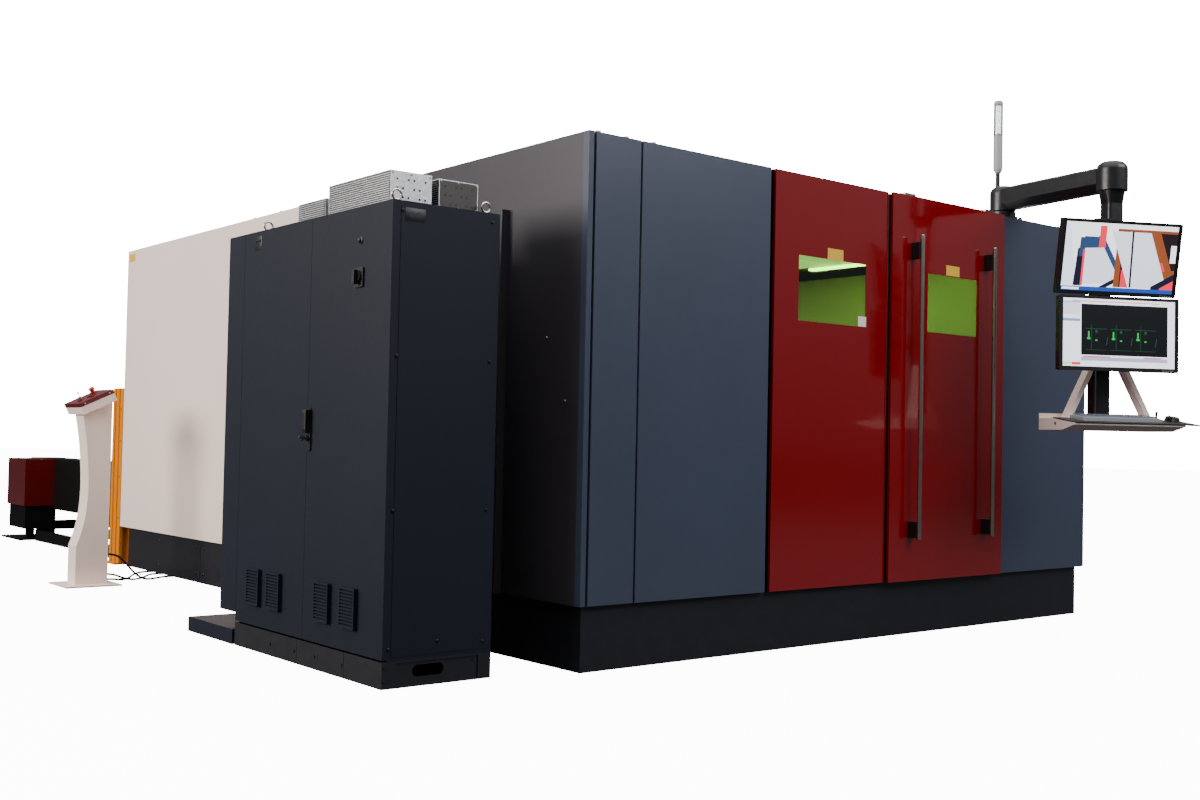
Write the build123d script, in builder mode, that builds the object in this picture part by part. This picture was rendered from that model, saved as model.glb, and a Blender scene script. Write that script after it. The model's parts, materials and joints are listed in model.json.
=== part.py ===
from build123d import *
from math import atan2, cos, degrees, hypot, pi, radians, sin, tan
import os

os.makedirs("parts", exist_ok=True)

# Millimetres, +Z up. The front looks along -Y, and the operator's right is +X.
# Every place below is read from the cabin's front left corner on the floor:
# x to the right, y to the back. The frame's origin is the cabin's plan centre.
cabin_w = 3845.0
cabin_d = 5363.0
panel_foot_z = 281.0
panel_top_z = 2282.0
sheet = 3.0
pan = 38.0

# Cabin front, left to right
narrow_panel = (40.0, 290.0)
wide_width = 804.0
red_width = 836.0
leaf_width = 983.0
wide_panel = (narrow_panel[1] + 11, narrow_panel[1] + 11 + wide_width)
red_panel = (wide_panel[1] + 33, wide_panel[1] + 33 + red_width)
door_leaf = (red_panel[1] + 15, red_panel[1] + 15 + leaf_width)
right_panel = (door_leaf[1] + 3, cabin_w - 29)
corner_trim = 27.0
left_window = (red_panel[0] + 169, red_panel[1] - 169, 1573.0, 1889.0)
door_window = (door_leaf[0] + 296, door_leaf[1] - 254, 1581.0, 1889.0)
glass = 6.0
door_proud = 5.0
door_pan = 15.0
door_travel = 820.0

# Door bars
bar_r = 12.0
bar_out = 77.0
bar_gauge = 319.0
bar_z = (495.0, 2073.0)
block_z = ((505.0, 590.0), (1952.0, 2037.0))
block_w = 40.0

# Skirt, sides and roof
skirt_in = 28.0
skirt_right = cabin_w - 45
skirt_back = cabin_d - 103
skirt_joint = 3977.0
side_split = 2000.0
trunking = (569.0, 634.0)
roof_drop = 60.0
tube = 60.0

# Bed, gantry, head and pallets
rail_in = 560.0
bed_rail_x = (rail_in, cabin_w - rail_in)
bed_y = (330.0, cabin_d - 283)
bed_half = 130.0
bed_top = 960.0
pallet_z = 700.0
pallet_in = 790.0
pallet_x = (pallet_in, cabin_w - pallet_in)
pallet_long = 3100.0
pallet_y = 1500.0
pallet_rail = 70.0
low_drop = 260.0
shelf_in = 860.0
slat_pitch = 105.0
gantry_y = 900.0
gantry_travel = 3500.0
head_x = 2300.0

# Electrical cabinet
box_x = (-846.0, -338.0)
box_y = (154.0, 1488.0)
box_top = 1900.0
plinth_h = 105.0
leaf_t = 20.0
riser_end = 1659.0
vent_y = (416.0, 635.0, 1082.0, 1285.0)
vent_size = (125.0, 165.0, 18.0)
vent_foot = 205.0
louvres = 11
eyebolt_r = 20.0
eyebolt_wire = 5.0

# Pendant arm
arm_root = (3180.0, 135.0)
arm_end = (3035.0, -628.0)
arm_z = (2345.0, 2472.0)
arm_w = 118.0
hood_r = 72.0
end_hood_r = 80.0
post_w = 90.0
post_z = (1150.0, 2190.0)
view_turn = 27.3
screen_w = 680.0
screen_h = 382.0
screen_u = -72.0
screen_out = 191.0
top_screen_z = 1960.0
low_screen_z = 1573.0
screen_tilt = 10.0
pivot_out = 85.0
post_u = -68.0
tray_u = (-375.0, 254.0)
tray_back = 59.0
tray_flat = 226.0
tray_deep = 335.0
tray_z = (1078.0, 1104.0, 1165.0)
deck_z = 1138.0
deck_step = -66.0
plate_end = 334.0
tower_xy = (3297.0, 250.0)

# Pallet changer behind the cabin
casing_w = 230.0
casing_x = 300.0
casing_z = (265.0, 700.0)
changer_y = (cabin_d + 67, cabin_d + 77 + pallet_long)
drive_y = (changer_y[1] - 690, changer_y[1] - 180)
foot_y = (changer_y[0] + 50, changer_y[0] + 1470, changer_y[1] - 300)

# Console and light-curtain column
console_x = (-788.0, -445.0)
console_y = (4050.0, 4400.0)
stand_y = (4150.0, 4300.0)
head_y = (4075.0, 4375.0)
head_corner = (-703.0, 1070.0)
head_long = 222.0
head_t = 50.0
cover_t = 25.0
head_turn = 25.5
column_x = (-3.0, 97.0)
column_y = (cabin_d + 12, cabin_d + 212)
column_h = 1285.0

x_left = -cabin_w / 2
y_front = -cabin_d / 2
floor = Plane(origin=(x_left, y_front, 0), z_dir=(0, 0, 1))
front = Plane(origin=(x_left, y_front, 0), x_dir=(1, 0, 0), z_dir=(0, -1, 0))
side = Plane(origin=(x_left, y_front, 0), x_dir=(0, 1, 0), z_dir=(1, 0, 0))


def at(x, y, z=0.0):
    """A point measured from the cabin's front left corner."""
    return (x_left + x, y_front + y, z)


def block(plane, across, up, amount, mode=Mode.ADD, soft=0.0):
    """Extrude the rectangle between two spans of a plane."""
    wide = across[1] - across[0]
    high = up[1] - up[0]
    with BuildSketch(plane) as sketch:
        with Locations(((across[0] + across[1]) / 2, (up[0] + up[1]) / 2)):
            if soft:
                RectangleRounded(wide, high, soft)
            else:
                Rectangle(wide, high)
    return extrude(sketch.sketch, amount=amount, mode=mode)


def disc(plane, centre, radius, amount, mode=Mode.ADD):
    """Extrude a circle."""
    with BuildSketch(plane) as sketch:
        with Locations(centre):
            Circle(radius)
    return extrude(sketch.sketch, amount=amount, mode=mode)


def folded(plane, across, up, deep):
    """Add a folded panel: a skin in front, returned edges, open at the back."""
    block(plane, across, up, -deep)
    inner = (across[0] + sheet, across[1] - sheet)
    inner_up = (up[0] + sheet, up[1] - sheet)
    block(plane.offset(-sheet), inner, inner_up, sheet - deep, Mode.SUBTRACT)


# Welded frame of the cabin: square tube behind the panels, clear of the openings,
# with the end stop channel in the gap between the wide and the red panel
frame_front = front.offset(-pan)
door_open = (door_leaf[0] + 20, door_leaf[1] - 20)
with BuildPart() as cabin_frame:
    for x in (pan, wide_panel[1] - 15, door_open[0] - tube, door_open[1], cabin_w - pan - tube):
        block(frame_front, (x, x + tube), (panel_foot_z, panel_top_z - roof_drop), -tube)
    for x in (pan, cabin_w - pan - tube):
        for y in (side_split - tube / 2, 3500, cabin_d - pan - tube):
            block(floor.offset(panel_foot_z), (x, x + tube), (y, y + tube),
                  panel_top_z - roof_drop - panel_foot_z)
    for z in (panel_foot_z, panel_top_z - roof_drop - tube):
        for x in (pan, cabin_w - pan - tube):
            block(floor.offset(z), (x, x + tube), (pan, cabin_d - pan), tube)
        for y in (pan, cabin_d - pan - tube):
            block(floor.offset(z), (pan, cabin_w - pan), (y, y + tube), tube)
    for y in (1400, 2700, 4000):
        block(floor.offset(panel_top_z - roof_drop - tube), (pan, cabin_w - pan),
              (y, y + tube), tube)
    with BuildSketch(floor.offset(panel_foot_z)):
        with BuildLine():
            Polyline((wide_panel[1], pan), (wide_panel[1], 14), (wide_panel[1] + 3, 14),
                     (wide_panel[1] + 3, pan - 5), (red_panel[0] - 3, pan - 5),
                     (red_panel[0] - 3, 14), (red_panel[0], 14), (red_panel[0], pan),
                     close=True)
        make_face()
    extrude(amount=panel_top_z - panel_foot_z)
cabin_frame.part.label = "cabin_frame"
export_step(cabin_frame.part, "parts/cabin_frame.step")

# Skirt: a closed ring of sheet on the floor, set back under the panels
with BuildPart() as base_skirt:
    block(floor, (skirt_in, skirt_right), (skirt_in, skirt_back), panel_foot_z)
    block(floor, (skirt_in + 8, skirt_right - 8), (skirt_in + 8, skirt_back - 8),
          panel_foot_z, Mode.SUBTRACT)
    block(floor.offset(panel_foot_z - 4), (skirt_in, skirt_right), (skirt_in, skirt_back), 4)
    block(floor.offset(panel_foot_z - 4), (skirt_in + 90, skirt_right - 90),
          (skirt_in + 90, skirt_back - 90), 4, Mode.SUBTRACT)
    for x in (skirt_in, skirt_right - 2):
        block(floor, (x, x + 2), (skirt_joint - 2, skirt_joint + 2), panel_foot_z, Mode.SUBTRACT)
base_skirt.part.label = "base_skirt"
export_step(base_skirt.part, "parts/base_skirt.step")

# Folded panels of the front, with bent trims that close its two corners
with BuildPart() as front_panels:
    folded(front, narrow_panel, (panel_foot_z, panel_top_z), pan)
    folded(front, wide_panel, (panel_foot_z, panel_top_z), pan)
    folded(front, right_panel, (panel_foot_z, panel_top_z), pan)
    for x, turn in ((0, 1), (cabin_w, -1)):
        with BuildSketch(floor.offset(panel_foot_z)):
            with BuildLine():
                Polyline((x, 0), (x + turn * corner_trim, 0), (x + turn * corner_trim, pan),
                         (x + turn * (corner_trim - 3), pan), (x + turn * (corner_trim - 3), 3),
                         (x + turn * 3, 3), (x + turn * 3, pan), (x, pan), close=True)
            make_face()
        extrude(amount=panel_top_z - panel_foot_z)
front_panels.part.label = "front_panels"
export_step(front_panels.part, "parts/front_panels.step")

with BuildPart() as left_red_panel:
    folded(front, red_panel, (panel_foot_z, panel_top_z), pan)
    block(front, left_window[:2], left_window[2:], -sheet, Mode.SUBTRACT, soft=4)
left_red_panel.part.label = "left_red_panel"
export_step(left_red_panel.part, "parts/left_red_panel.step")

with BuildPart() as left_window_glass:
    block(front.offset(-sheet), (left_window[0] - 20, left_window[1] + 20),
          (left_window[2] - 20, left_window[3] + 20), -glass)
left_window_glass.part.label = "left_window_glass"
export_step(left_window_glass.part, "parts/left_window_glass.step")

# Sides: a dark front part and a white rear part on the left, the same on the right
right_side = Plane(origin=at(cabin_w, 0), x_dir=(0, 1, 0), z_dir=(1, 0, 0))
left_side = Plane(origin=at(0, 0), x_dir=(0, -1, 0), z_dir=(-1, 0, 0))
with BuildPart() as dark_side_panels:
    folded(left_side, (-side_split + 2, -pan), (panel_foot_z, panel_top_z), pan)
    folded(right_side, (pan, side_split - 2), (panel_foot_z, panel_top_z), pan)
dark_side_panels.part.label = "dark_side_panels"
export_step(dark_side_panels.part, "parts/dark_side_panels.step")

with BuildPart() as white_side_panels:
    folded(left_side, (-cabin_d, -side_split - 2), (panel_foot_z, panel_top_z), pan)
    folded(right_side, (side_split + 2, cabin_d), (panel_foot_z, panel_top_z), pan)
white_side_panels.part.label = "white_side_panels"
export_step(white_side_panels.part, "parts/white_side_panels.step")

# Rear wall with the pallets' passage
passage_x = (pallet_x[0] - 30, pallet_x[1] + 30)
passage_z = (350.0, 1010.0)
rear = Plane(origin=at(0, cabin_d), x_dir=(-1, 0, 0), z_dir=(0, 1, 0))
with BuildPart() as rear_wall:
    folded(rear, (pan + 2 - cabin_w, -pan - 2), (panel_foot_z, panel_top_z), pan)
    block(rear, (-passage_x[1], -passage_x[0]), passage_z, -pan, Mode.SUBTRACT)
rear_wall.part.label = "rear_wall"
export_step(rear_wall.part, "parts/rear_wall.step")

# Roof: a tray hung below the panels' top edges, with the small clips on its rim
roof_z = panel_top_z - roof_drop
with BuildPart() as roof:
    block(floor.offset(roof_z), (pan, cabin_w - pan), (pan, cabin_d - pan), sheet)
    for y in (1400, 2700, 4000):
        block(floor.offset(roof_z + sheet), (pan + 20, cabin_w - pan - 20), (y - 20, y + 20), 22)
    for x in (57, 213, 369, cabin_w - 285, cabin_w - 129):
        block(front.offset(-4), (x - 9, x + 9), (panel_top_z, panel_top_z + 7), -30)
    for y in (2902, 3257):
        for x in (4, cabin_w - 34):
            block(floor.offset(panel_top_z), (x, x + 30), (y - 9, y + 9), 7)
roof.part.label = "roof"
export_step(roof.part, "parts/roof.step")

with BuildPart() as cable_trunking:
    with BuildSketch(floor.offset(panel_foot_z)):
        with Locations((-20, sum(trunking) / 2)):
            RectangleRounded(40, trunking[1] - trunking[0], 3)
    extrude(amount=2010 - panel_foot_z)
cable_trunking.part.label = "cable_trunking"
export_step(cable_trunking.part, "parts/cable_trunking.step")

# Sliding door: folded red leaf, hung from two arms that reach back over the edge
leaf_front = front.offset(door_proud + door_pan)
centre_x = sum(door_leaf) / 2
hanger_x = (door_leaf[0] + 140, door_leaf[1] - 140)
with BuildPart() as operator_door:
    folded(leaf_front, door_leaf, (panel_foot_z, panel_top_z), door_pan)
    block(leaf_front, door_window[:2], door_window[2:], -sheet, Mode.SUBTRACT, soft=4)
    for x in (centre_x - bar_gauge, centre_x + bar_gauge):
        block(leaf_front.offset(-sheet), (x - 40, x + 40),
              (panel_foot_z + sheet, panel_top_z - sheet), sheet - door_pan)
operator_door.part.label = "operator_door"
export_step(operator_door.part, "parts/operator_door.step")

with BuildPart() as door_window_glass:
    block(leaf_front.offset(-sheet), (door_window[0] - 20, door_window[1] + 20),
          (door_window[2] - 20, door_window[3] + 20), -glass)
door_window_glass.part.label = "door_window_glass"
export_step(door_window_glass.part, "parts/door_window_glass.step")

shoe_y = 105.0
rail_top = roof_z + sheet + 28
with BuildPart() as door_hangers:
    for x in hanger_x:
        with BuildSketch(side.offset(x - 45)):
            with BuildLine():
                Polyline((-door_proud - door_pan, panel_top_z), (-door_proud - door_pan, panel_top_z + 11),
                         (shoe_y + 24, panel_top_z + 11), (shoe_y + 24, rail_top - 16),
                         (shoe_y + 12.3, rail_top - 16), (shoe_y + 12.3, rail_top),
                         (shoe_y - 12.3, rail_top), (shoe_y - 12.3, rail_top - 16),
                         (shoe_y - 24, rail_top - 16), (shoe_y - 24, panel_top_z + 3),
                         (-door_proud, panel_top_z + 3), (-door_proud, panel_top_z), close=True)
            make_face()
        extrude(amount=90)
door_hangers.part.label = "door_hangers"
export_step(door_hangers.part, "parts/door_hangers.step")

with BuildPart() as door_rail:
    with BuildSketch(side.offset(red_panel[0] + 32)):
        with BuildLine():
            Polyline((shoe_y - 20, roof_z + sheet), (shoe_y + 20, roof_z + sheet),
                     (shoe_y + 20, roof_z + sheet + 5), (shoe_y + 12, roof_z + sheet + 5),
                     (shoe_y + 12, rail_top), (shoe_y - 12, rail_top),
                     (shoe_y - 12, roof_z + sheet + 5), (shoe_y - 20, roof_z + sheet + 5), close=True)
        make_face()
    extrude(amount=door_leaf[1] - 12 - red_panel[0] - 32)
door_rail.part.label = "door_rail"
export_step(door_rail.part, "parts/door_rail.step")

# Bars: bright round tube with domed ends on standoff blocks
with BuildPart() as door_bars:
    for x in (centre_x - bar_gauge, centre_x + bar_gauge):
        with BuildSketch(Plane(origin=at(x, -bar_out), x_dir=(1, 0, 0), z_dir=(0, -1, 0))):
            with BuildLine():
                Polyline((0, bar_z[0]), (bar_r - 3, bar_z[0]), (bar_r, bar_z[0] + 3),
                         (bar_r, bar_z[1] - 3), (bar_r - 3, bar_z[1]), (0, bar_z[1]), close=True)
            make_face()
        revolve(axis=Axis(at(x, -bar_out), (0, 0, 1)))
door_bars.part.label = "door_bars"
export_step(door_bars.part, "parts/door_bars.step")

with BuildPart() as bar_blocks:
    for x in (centre_x - bar_gauge, centre_x + bar_gauge):
        for span in block_z:
            block(leaf_front, (x - block_w / 2, x + block_w / 2), span,
                  bar_out - bar_r - door_proud - door_pan + 7, soft=3)
            disc(floor.offset(span[0]), (x, -bar_out), bar_r, span[1] - span[0], Mode.SUBTRACT)
bar_blocks.part.label = "bar_blocks"
export_step(bar_blocks.part, "parts/bar_blocks.step")

# Bed: two hollow side beams with a step for each pallet level, tied across the floor,
# and a shouldered steel rail on each for the gantry
def mirrored(points):
    """The same points on the other side of the cabin."""
    return [(cabin_w - x, z) for x, z in points]


shelf_z = (pallet_z - pallet_rail, pallet_z - pallet_rail - low_drop)
beam_l = bed_rail_x[0] - bed_half
beam_r = bed_rail_x[0] + bed_half
beam_outline = [(beam_l - 30, 0), (beam_r + 30, 0), (beam_r + 30, 90), (beam_r, 130)]
for z in (shelf_z[1], shelf_z[0]):
    beam_outline += [(beam_r, z - 60), (beam_r + 20, z - 25), (shelf_in, z - 25), (shelf_in, z),
                     (beam_r, z)]
beam_outline += [(beam_r, bed_top), (beam_l, bed_top), (beam_l, 130), (beam_l - 30, 90)]
beam_hollow = [(beam_l - 10, 16), (beam_r + 10, 16), (beam_r - 14, 130), (beam_r - 14, bed_top - 20),
               (beam_l + 14, bed_top - 20), (beam_l + 14, 130)]
with BuildPart() as machine_bed:
    for turn in (list, mirrored):
        with BuildSketch(front.offset(-bed_y[0])):
            with BuildLine():
                Polyline(*turn(beam_outline), close=True)
            make_face()
            with BuildLine():
                Polyline(*turn(beam_hollow), close=True)
            make_face(mode=Mode.SUBTRACT)
        extrude(amount=bed_y[0] - bed_y[1])
    for y in (1160, 2900, 4560):
        for x, reach in ((pan + tube, 1), (cabin_w - pan - tube, -1)):
            block(side.offset(x), (y, y + tube), (panel_foot_z, panel_foot_z + tube),
                  reach * (beam_l - pan - tube))
    for y in (bed_y[0] + 290, cabin_d / 2, bed_y[1] - 340):
        block(side.offset(beam_r + 10), (y - 110, y + 110), (0, 160), cabin_w - 2 * beam_r - 20)
        block(side.offset(beam_r + 40), (y - 98, y + 98), (12, 148),
              cabin_w - 2 * beam_r - 80, Mode.SUBTRACT)
    for x in bed_rail_x:
        with BuildSketch(front.offset(-bed_y[0] - 20)):
            with BuildLine():
                Polyline((x - 17, bed_top), (x + 17, bed_top), (x + 17, bed_top + 10),
                         (x + 12, bed_top + 15), (x + 17, bed_top + 20), (x + 17, bed_top + 28),
                         (x - 17, bed_top + 28), (x - 17, bed_top + 20), (x - 12, bed_top + 15),
                         (x - 17, bed_top + 10), close=True)
            make_face()
        extrude(amount=bed_y[0] - bed_y[1] + 40)
machine_bed.part.label = "machine_bed"
export_step(machine_bed.part, "parts/machine_bed.step")

# Gantry: a hollow cross beam on two foot blocks, with two rails on its front face
beam_z = (1030.0, 1330.0)
beam_half = 140.0
beam_face = gantry_y - beam_half
with BuildPart() as gantry_beam:
    with BuildSketch(side.offset(bed_rail_x[0] - 100)):
        with BuildLine():
            Polyline((beam_face, beam_z[0]), (gantry_y + beam_half - 50, beam_z[0]),
                     (gantry_y + beam_half, beam_z[0] + 60), (gantry_y + beam_half, beam_z[1] - 90),
                     (gantry_y + beam_half - 90, beam_z[1]), (beam_face, beam_z[1]), close=True)
        make_face()
        with BuildLine():
            Polyline((beam_face + 12, beam_z[0] + 12), (gantry_y + beam_half - 56, beam_z[0] + 12),
                     (gantry_y + beam_half - 12, beam_z[0] + 66),
                     (gantry_y + beam_half - 12, beam_z[1] - 96),
                     (gantry_y + beam_half - 96, beam_z[1] - 12),
                     (beam_face + 12, beam_z[1] - 12), close=True)
        make_face(mode=Mode.SUBTRACT)
    extrude(amount=bed_rail_x[1] - bed_rail_x[0] + 200)
    for x in bed_rail_x:
        block(floor.offset(bed_top + 3), (x - 60, x + 60), (gantry_y - 160, gantry_y + 160),
              beam_z[0] - bed_top - 3)
        block(floor.offset(bed_top), (x - 17.5, x + 17.5), (gantry_y - 160, gantry_y + 160),
              28.5, Mode.SUBTRACT)
    for z in (beam_z[0] + 30, beam_z[1] - 60):
        block(side.offset(bed_rail_x[0] - 60), (beam_face - 22, beam_face), (z, z + 30),
              bed_rail_x[1] - bed_rail_x[0] + 120)
gantry_beam.part.label = "gantry_beam"
export_step(gantry_beam.part, "parts/gantry_beam.step")

# Cross carriage with a rounded hood, and the cutting head with its nozzle
with BuildPart() as cross_carriage:
    with BuildSketch(floor.offset(beam_z[0] + 10)):
        with Locations((head_x, beam_face - 77)):
            RectangleRounded(300, 110, 18)
    extrude(amount=beam_z[1] - beam_z[0] + 70)
cross_carriage.part.label = "cross_carriage"
export_step(cross_carriage.part, "parts/cross_carriage.step")

torch_y = beam_face - 132 - 55
head_tip = pallet_z + 75
with BuildPart() as cutting_head:
    with BuildSketch(Plane(origin=at(head_x, torch_y), x_dir=(1, 0, 0), z_dir=(0, -1, 0))):
        with BuildLine():
            Polyline((0, head_tip), (3, head_tip), (11, head_tip + 22), (16, head_tip + 26),
                     (16, head_tip + 60), (32, head_tip + 84), (32, head_tip + 150),
                     (46, head_tip + 160), (46, head_tip + 420), (38, head_tip + 432),
                     (38, head_tip + 500), (14, head_tip + 512), (14, head_tip + 560),
                     (0, head_tip + 560), close=True)
        make_face()
    revolve(axis=Axis(at(head_x, torch_y), (0, 0, 1)))
    block(floor.offset(head_tip + 190), (head_x - 70, head_x + 70), (torch_y + 25, torch_y + 55), 230)
cutting_head.part.label = "cutting_head"
export_step(cutting_head.part, "parts/cutting_head.step")


# Pallets: a welded frame of channel with slats across it
def pallet(y, top):
    """Add one pallet whose frame starts at y and ends at the height top."""
    with BuildSketch(floor.offset(top - pallet_rail)) as ring:
        with Locations((cabin_w / 2, y + pallet_long / 2)):
            Rectangle(pallet_x[1] - pallet_x[0], pallet_long)
            Rectangle(pallet_x[1] - pallet_x[0] - 120, pallet_long - 120, mode=Mode.SUBTRACT)
    extrude(ring.sketch, amount=pallet_rail)
    count = int((pallet_long - 200) // slat_pitch)
    first = y + (pallet_long - (count - 1) * slat_pitch) / 2
    for i in range(count):
        at_y = first + i * slat_pitch
        with BuildSketch(front.offset(-at_y - 2)) as slat:
            with BuildLine():
                Polyline((pallet_x[0] + 30, top - 50), (pallet_x[1] - 30, top - 50),
                         (pallet_x[1] - 30, top), (pallet_x[1] - 70, top + 22),
                         (pallet_x[0] + 70, top + 22), (pallet_x[0] + 30, top), close=True)
            make_face()
        extrude(slat.sketch, amount=4)


with BuildPart() as work_pallet:
    pallet(pallet_y, pallet_z)
work_pallet.part.label = "work_pallet"
export_step(work_pallet.part, "parts/work_pallet.step")

with BuildPart() as waiting_pallet:
    pallet(changer_y[0] + 5, pallet_z - low_drop)
waiting_pallet.part.label = "waiting_pallet"
export_step(waiting_pallet.part, "parts/waiting_pallet.step")

# Changer: side casings on legs, with the same two shelves as the bed
casing_r = casing_x + casing_w
casing_outline = [(casing_x, casing_z[0]), (casing_r, casing_z[0])]
for z in (shelf_z[1], shelf_z[0]):
    casing_outline += [(casing_r, z - 70), (casing_r + 30, z - 25), (shelf_in, z - 25), (shelf_in, z),
                       (casing_r, z)]
casing_outline += [(casing_r, casing_z[1]), (casing_x, casing_z[1])]
with BuildPart() as changer_frame:
    for turn in (list, mirrored):
        with BuildSketch(front.offset(-changer_y[0])):
            with BuildLine():
                Polyline(*turn(casing_outline), close=True)
            make_face()
            with BuildLine():
                Polyline(*turn([(casing_x + 6, casing_z[0] + 6), (casing_r - 6, casing_z[0] + 6),
                                (casing_r - 6, casing_z[1] - 6), (casing_x + 6, casing_z[1] - 6)]),
                         close=True)
            make_face(mode=Mode.SUBTRACT)
        extrude(amount=changer_y[0] - changer_y[1])
        for y in foot_y:
            with BuildSketch(floor):
                with Locations((turn([(casing_x + 70, 0)])[0][0], y + 50)):
                    Rectangle(140, 100)
                    Rectangle(124, 84, mode=Mode.SUBTRACT)
            extrude(amount=casing_z[0])
            with BuildSketch(floor):
                with Locations((turn([(casing_x + 70, 0)])[0][0], y + 50)):
                    Rectangle(190, 150)
            extrude(amount=15)
    for y in foot_y:
        block(side.offset(casing_x + 140), (y + 10, y + 90), (60, 140), cabin_w - 2 * casing_x - 280)
        block(side.offset(casing_x + 140), (y + 16, y + 84), (66, 134),
              cabin_w - 2 * casing_x - 280, Mode.SUBTRACT)
    for x in (casing_x, cabin_w - casing_x - casing_w):
        block(floor.offset(casing_z[1]), (x, x + casing_w), changer_y, 12)
    for x in (130, cabin_w - 180):
        block(front.offset(30 - changer_y[0]), (x, x + 50), (0, 90), -2380)
        block(front.offset(30 - changer_y[0]), (x + 5, x + 45), (5, 85), -2380, Mode.SUBTRACT)
    for x in (180, cabin_w - casing_x):
        for y in foot_y[:2]:
            block(side.offset(x), (y + 20, y + 80), (20, 70), casing_x - 180)
    for x in (900, cabin_w - 980):
        block(front.offset(-skirt_back), (x, x + 80), (60, 140), skirt_back - foot_y[0] - 10)
changer_frame.part.label = "changer_frame"
export_step(changer_frame.part, "parts/changer_frame.step")

with BuildPart() as drive_cover:
    block(floor.offset(298), (50, casing_x), drive_y, 410)
    block(floor.offset(302), (54, casing_x), (drive_y[0] + 4, drive_y[1] - 4), 402, Mode.SUBTRACT)
drive_cover.part.label = "drive_cover"
export_step(drive_cover.part, "parts/drive_cover.step")

with BuildPart() as drive_box:
    block(floor.offset(97), (68, casing_x), (drive_y[0] + 25, drive_y[1] - 20), 201)
    block(floor.offset(101), (72, casing_x - 4), (drive_y[0] + 29, drive_y[1] - 24), 193,
          Mode.SUBTRACT)
    block(floor.offset(15), (100, 160), (drive_y[0] + 60, drive_y[0] + 120), 82)
    block(floor, (13, 240), (drive_y[0] - 20, drive_y[1] + 10), 15)
drive_box.part.label = "drive_box"
export_step(drive_box.part, "parts/drive_box.step")

# Electrical cabinet: sheet body open to the left, on a plinth, with two folded doors
door_z = (plinth_h + 8, box_top - 6)
seam_y = sum(box_y) / 2
leaf_gap = 0.6
body_x = box_x[0] + leaf_t + leaf_gap
with BuildPart() as cabinet_body:
    block(floor.offset(plinth_h), (body_x, box_x[1]), (box_y[0] + 2, box_y[1]), box_top - plinth_h)
    block(floor.offset(plinth_h + sheet), (body_x, box_x[1] - sheet),
          (box_y[0] + 2 + sheet, box_y[1] - sheet), box_top - plinth_h - 2 * sheet, Mode.SUBTRACT)
    block(front.offset(-box_y[0] - 2), (body_x + 18, box_x[1] - 18), (plinth_h + 18, box_top - 18), 2)
    block(floor.offset(box_top - 6), (box_x[0], body_x), box_y, 6)
cabinet_body.part.label = "cabinet_body"
export_step(cabinet_body.part, "parts/cabinet_body.step")

with BuildPart() as cabinet_plinth:
    block(floor, box_x, box_y, plinth_h)
    block(floor, (box_x[0] + 6, box_x[1] - 6), (box_y[0] + 10, box_y[1] - 10), plinth_h, Mode.SUBTRACT)
    block(front.offset(-box_y[0]), (box_x[0] + 62, box_x[1] - 62), (8, plinth_h - 8), -5, Mode.SUBTRACT)
    with BuildSketch(front.offset(-box_y[0])):
        with Locations((sum(box_x) / 2 - 41, 60)):
            SlotOverall(144, 46)
    extrude(amount=-12, mode=Mode.SUBTRACT)
    for y in (455, 867):
        block(left_side.offset(-box_x[0]), (-y - 1.5, -y + 1.5), (0, plinth_h), -2, Mode.SUBTRACT)
    for y in (472, 704, 891, 1120):
        disc(left_side.offset(-box_x[0]), (-y, 53), 7, 4)
    for z in (86, 32):
        disc(front.offset(-box_y[0]), (box_x[0] + 12, z), 6, 4)
    disc(front.offset(-box_y[0] - 5), (-420, 83), 6, 4)
cabinet_plinth.part.label = "cabinet_plinth"
export_step(cabinet_plinth.part, "parts/cabinet_plinth.step")


def vented_leaf(start, end, vents):
    """Add a folded door leaf with its louvred vent covers."""
    face = left_side.offset(-box_x[0])
    folded(face, (-end, -start), door_z, leaf_t)
    for y in vents:
        wide, high, proud = vent_size
        block(face, (-y - wide / 2, -y + wide / 2), (vent_foot, vent_foot + high), proud, soft=6)
        pitch = (high - 16) / louvres
        for i in range(louvres):
            z = vent_foot + 8 + i * pitch
            with BuildSketch(front.offset(-(y - wide / 2 + 8))) as slot:
                with BuildLine():
                    Polyline((box_x[0] - proud, z + 2), (box_x[0] - proud, z + pitch - 2),
                             (box_x[0] - 3, z + pitch - 1), close=True)
                make_face()
            extrude(slot.sketch, amount=-(wide - 16), mode=Mode.SUBTRACT)


with BuildPart() as near_cabinet_door:
    vented_leaf(box_y[0], seam_y - 1, vent_y[:2])
near_cabinet_door.part.label = "near_cabinet_door"
export_step(near_cabinet_door.part, "parts/near_cabinet_door.step")

with BuildPart() as far_cabinet_door:
    vented_leaf(seam_y + 1, box_y[1] - 2, vent_y[2:])
far_cabinet_door.part.label = "far_cabinet_door"
export_step(far_cabinet_door.part, "parts/far_cabinet_door.step")

# Swing handle: a long plate with a lever at its top and a lock below
door_face = left_side.offset(-box_x[0])
lock_y = 800.0
with BuildPart() as door_plates:
    block(door_face, (-lock_y - 20, -lock_y + 20), (908, 1090), 7, soft=12)
    disc(door_face.offset(7), (-lock_y, 961), 12, 9)
    block(door_face, (-435, -365), (1573, 1653), 8, soft=6)
    disc(door_face.offset(8), (-400, 1613), 26, 3)
door_plates.part.label = "door_plates"
export_step(door_plates.part, "parts/door_plates.step")

with BuildPart() as swing_handle:
    with BuildSketch(front.offset(-lock_y + 16)):
        with BuildLine():
            Polyline((box_x[0] - 7, 1082), (box_x[0] - 24, 1082), (box_x[0] - 30, 1070),
                     (box_x[0] - 30, 1000), (box_x[0] - 26, 984), (box_x[0] - 16, 984),
                     (box_x[0] - 16, 1046), (box_x[0] - 7, 1054), close=True)
        make_face()
    extrude(amount=-32)
    fillet(edges().filter_by(Axis.Z).group_by(Axis.X)[0], 6)
swing_handle.part.label = "swing_handle"
export_step(swing_handle.part, "parts/swing_handle.step")

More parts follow.
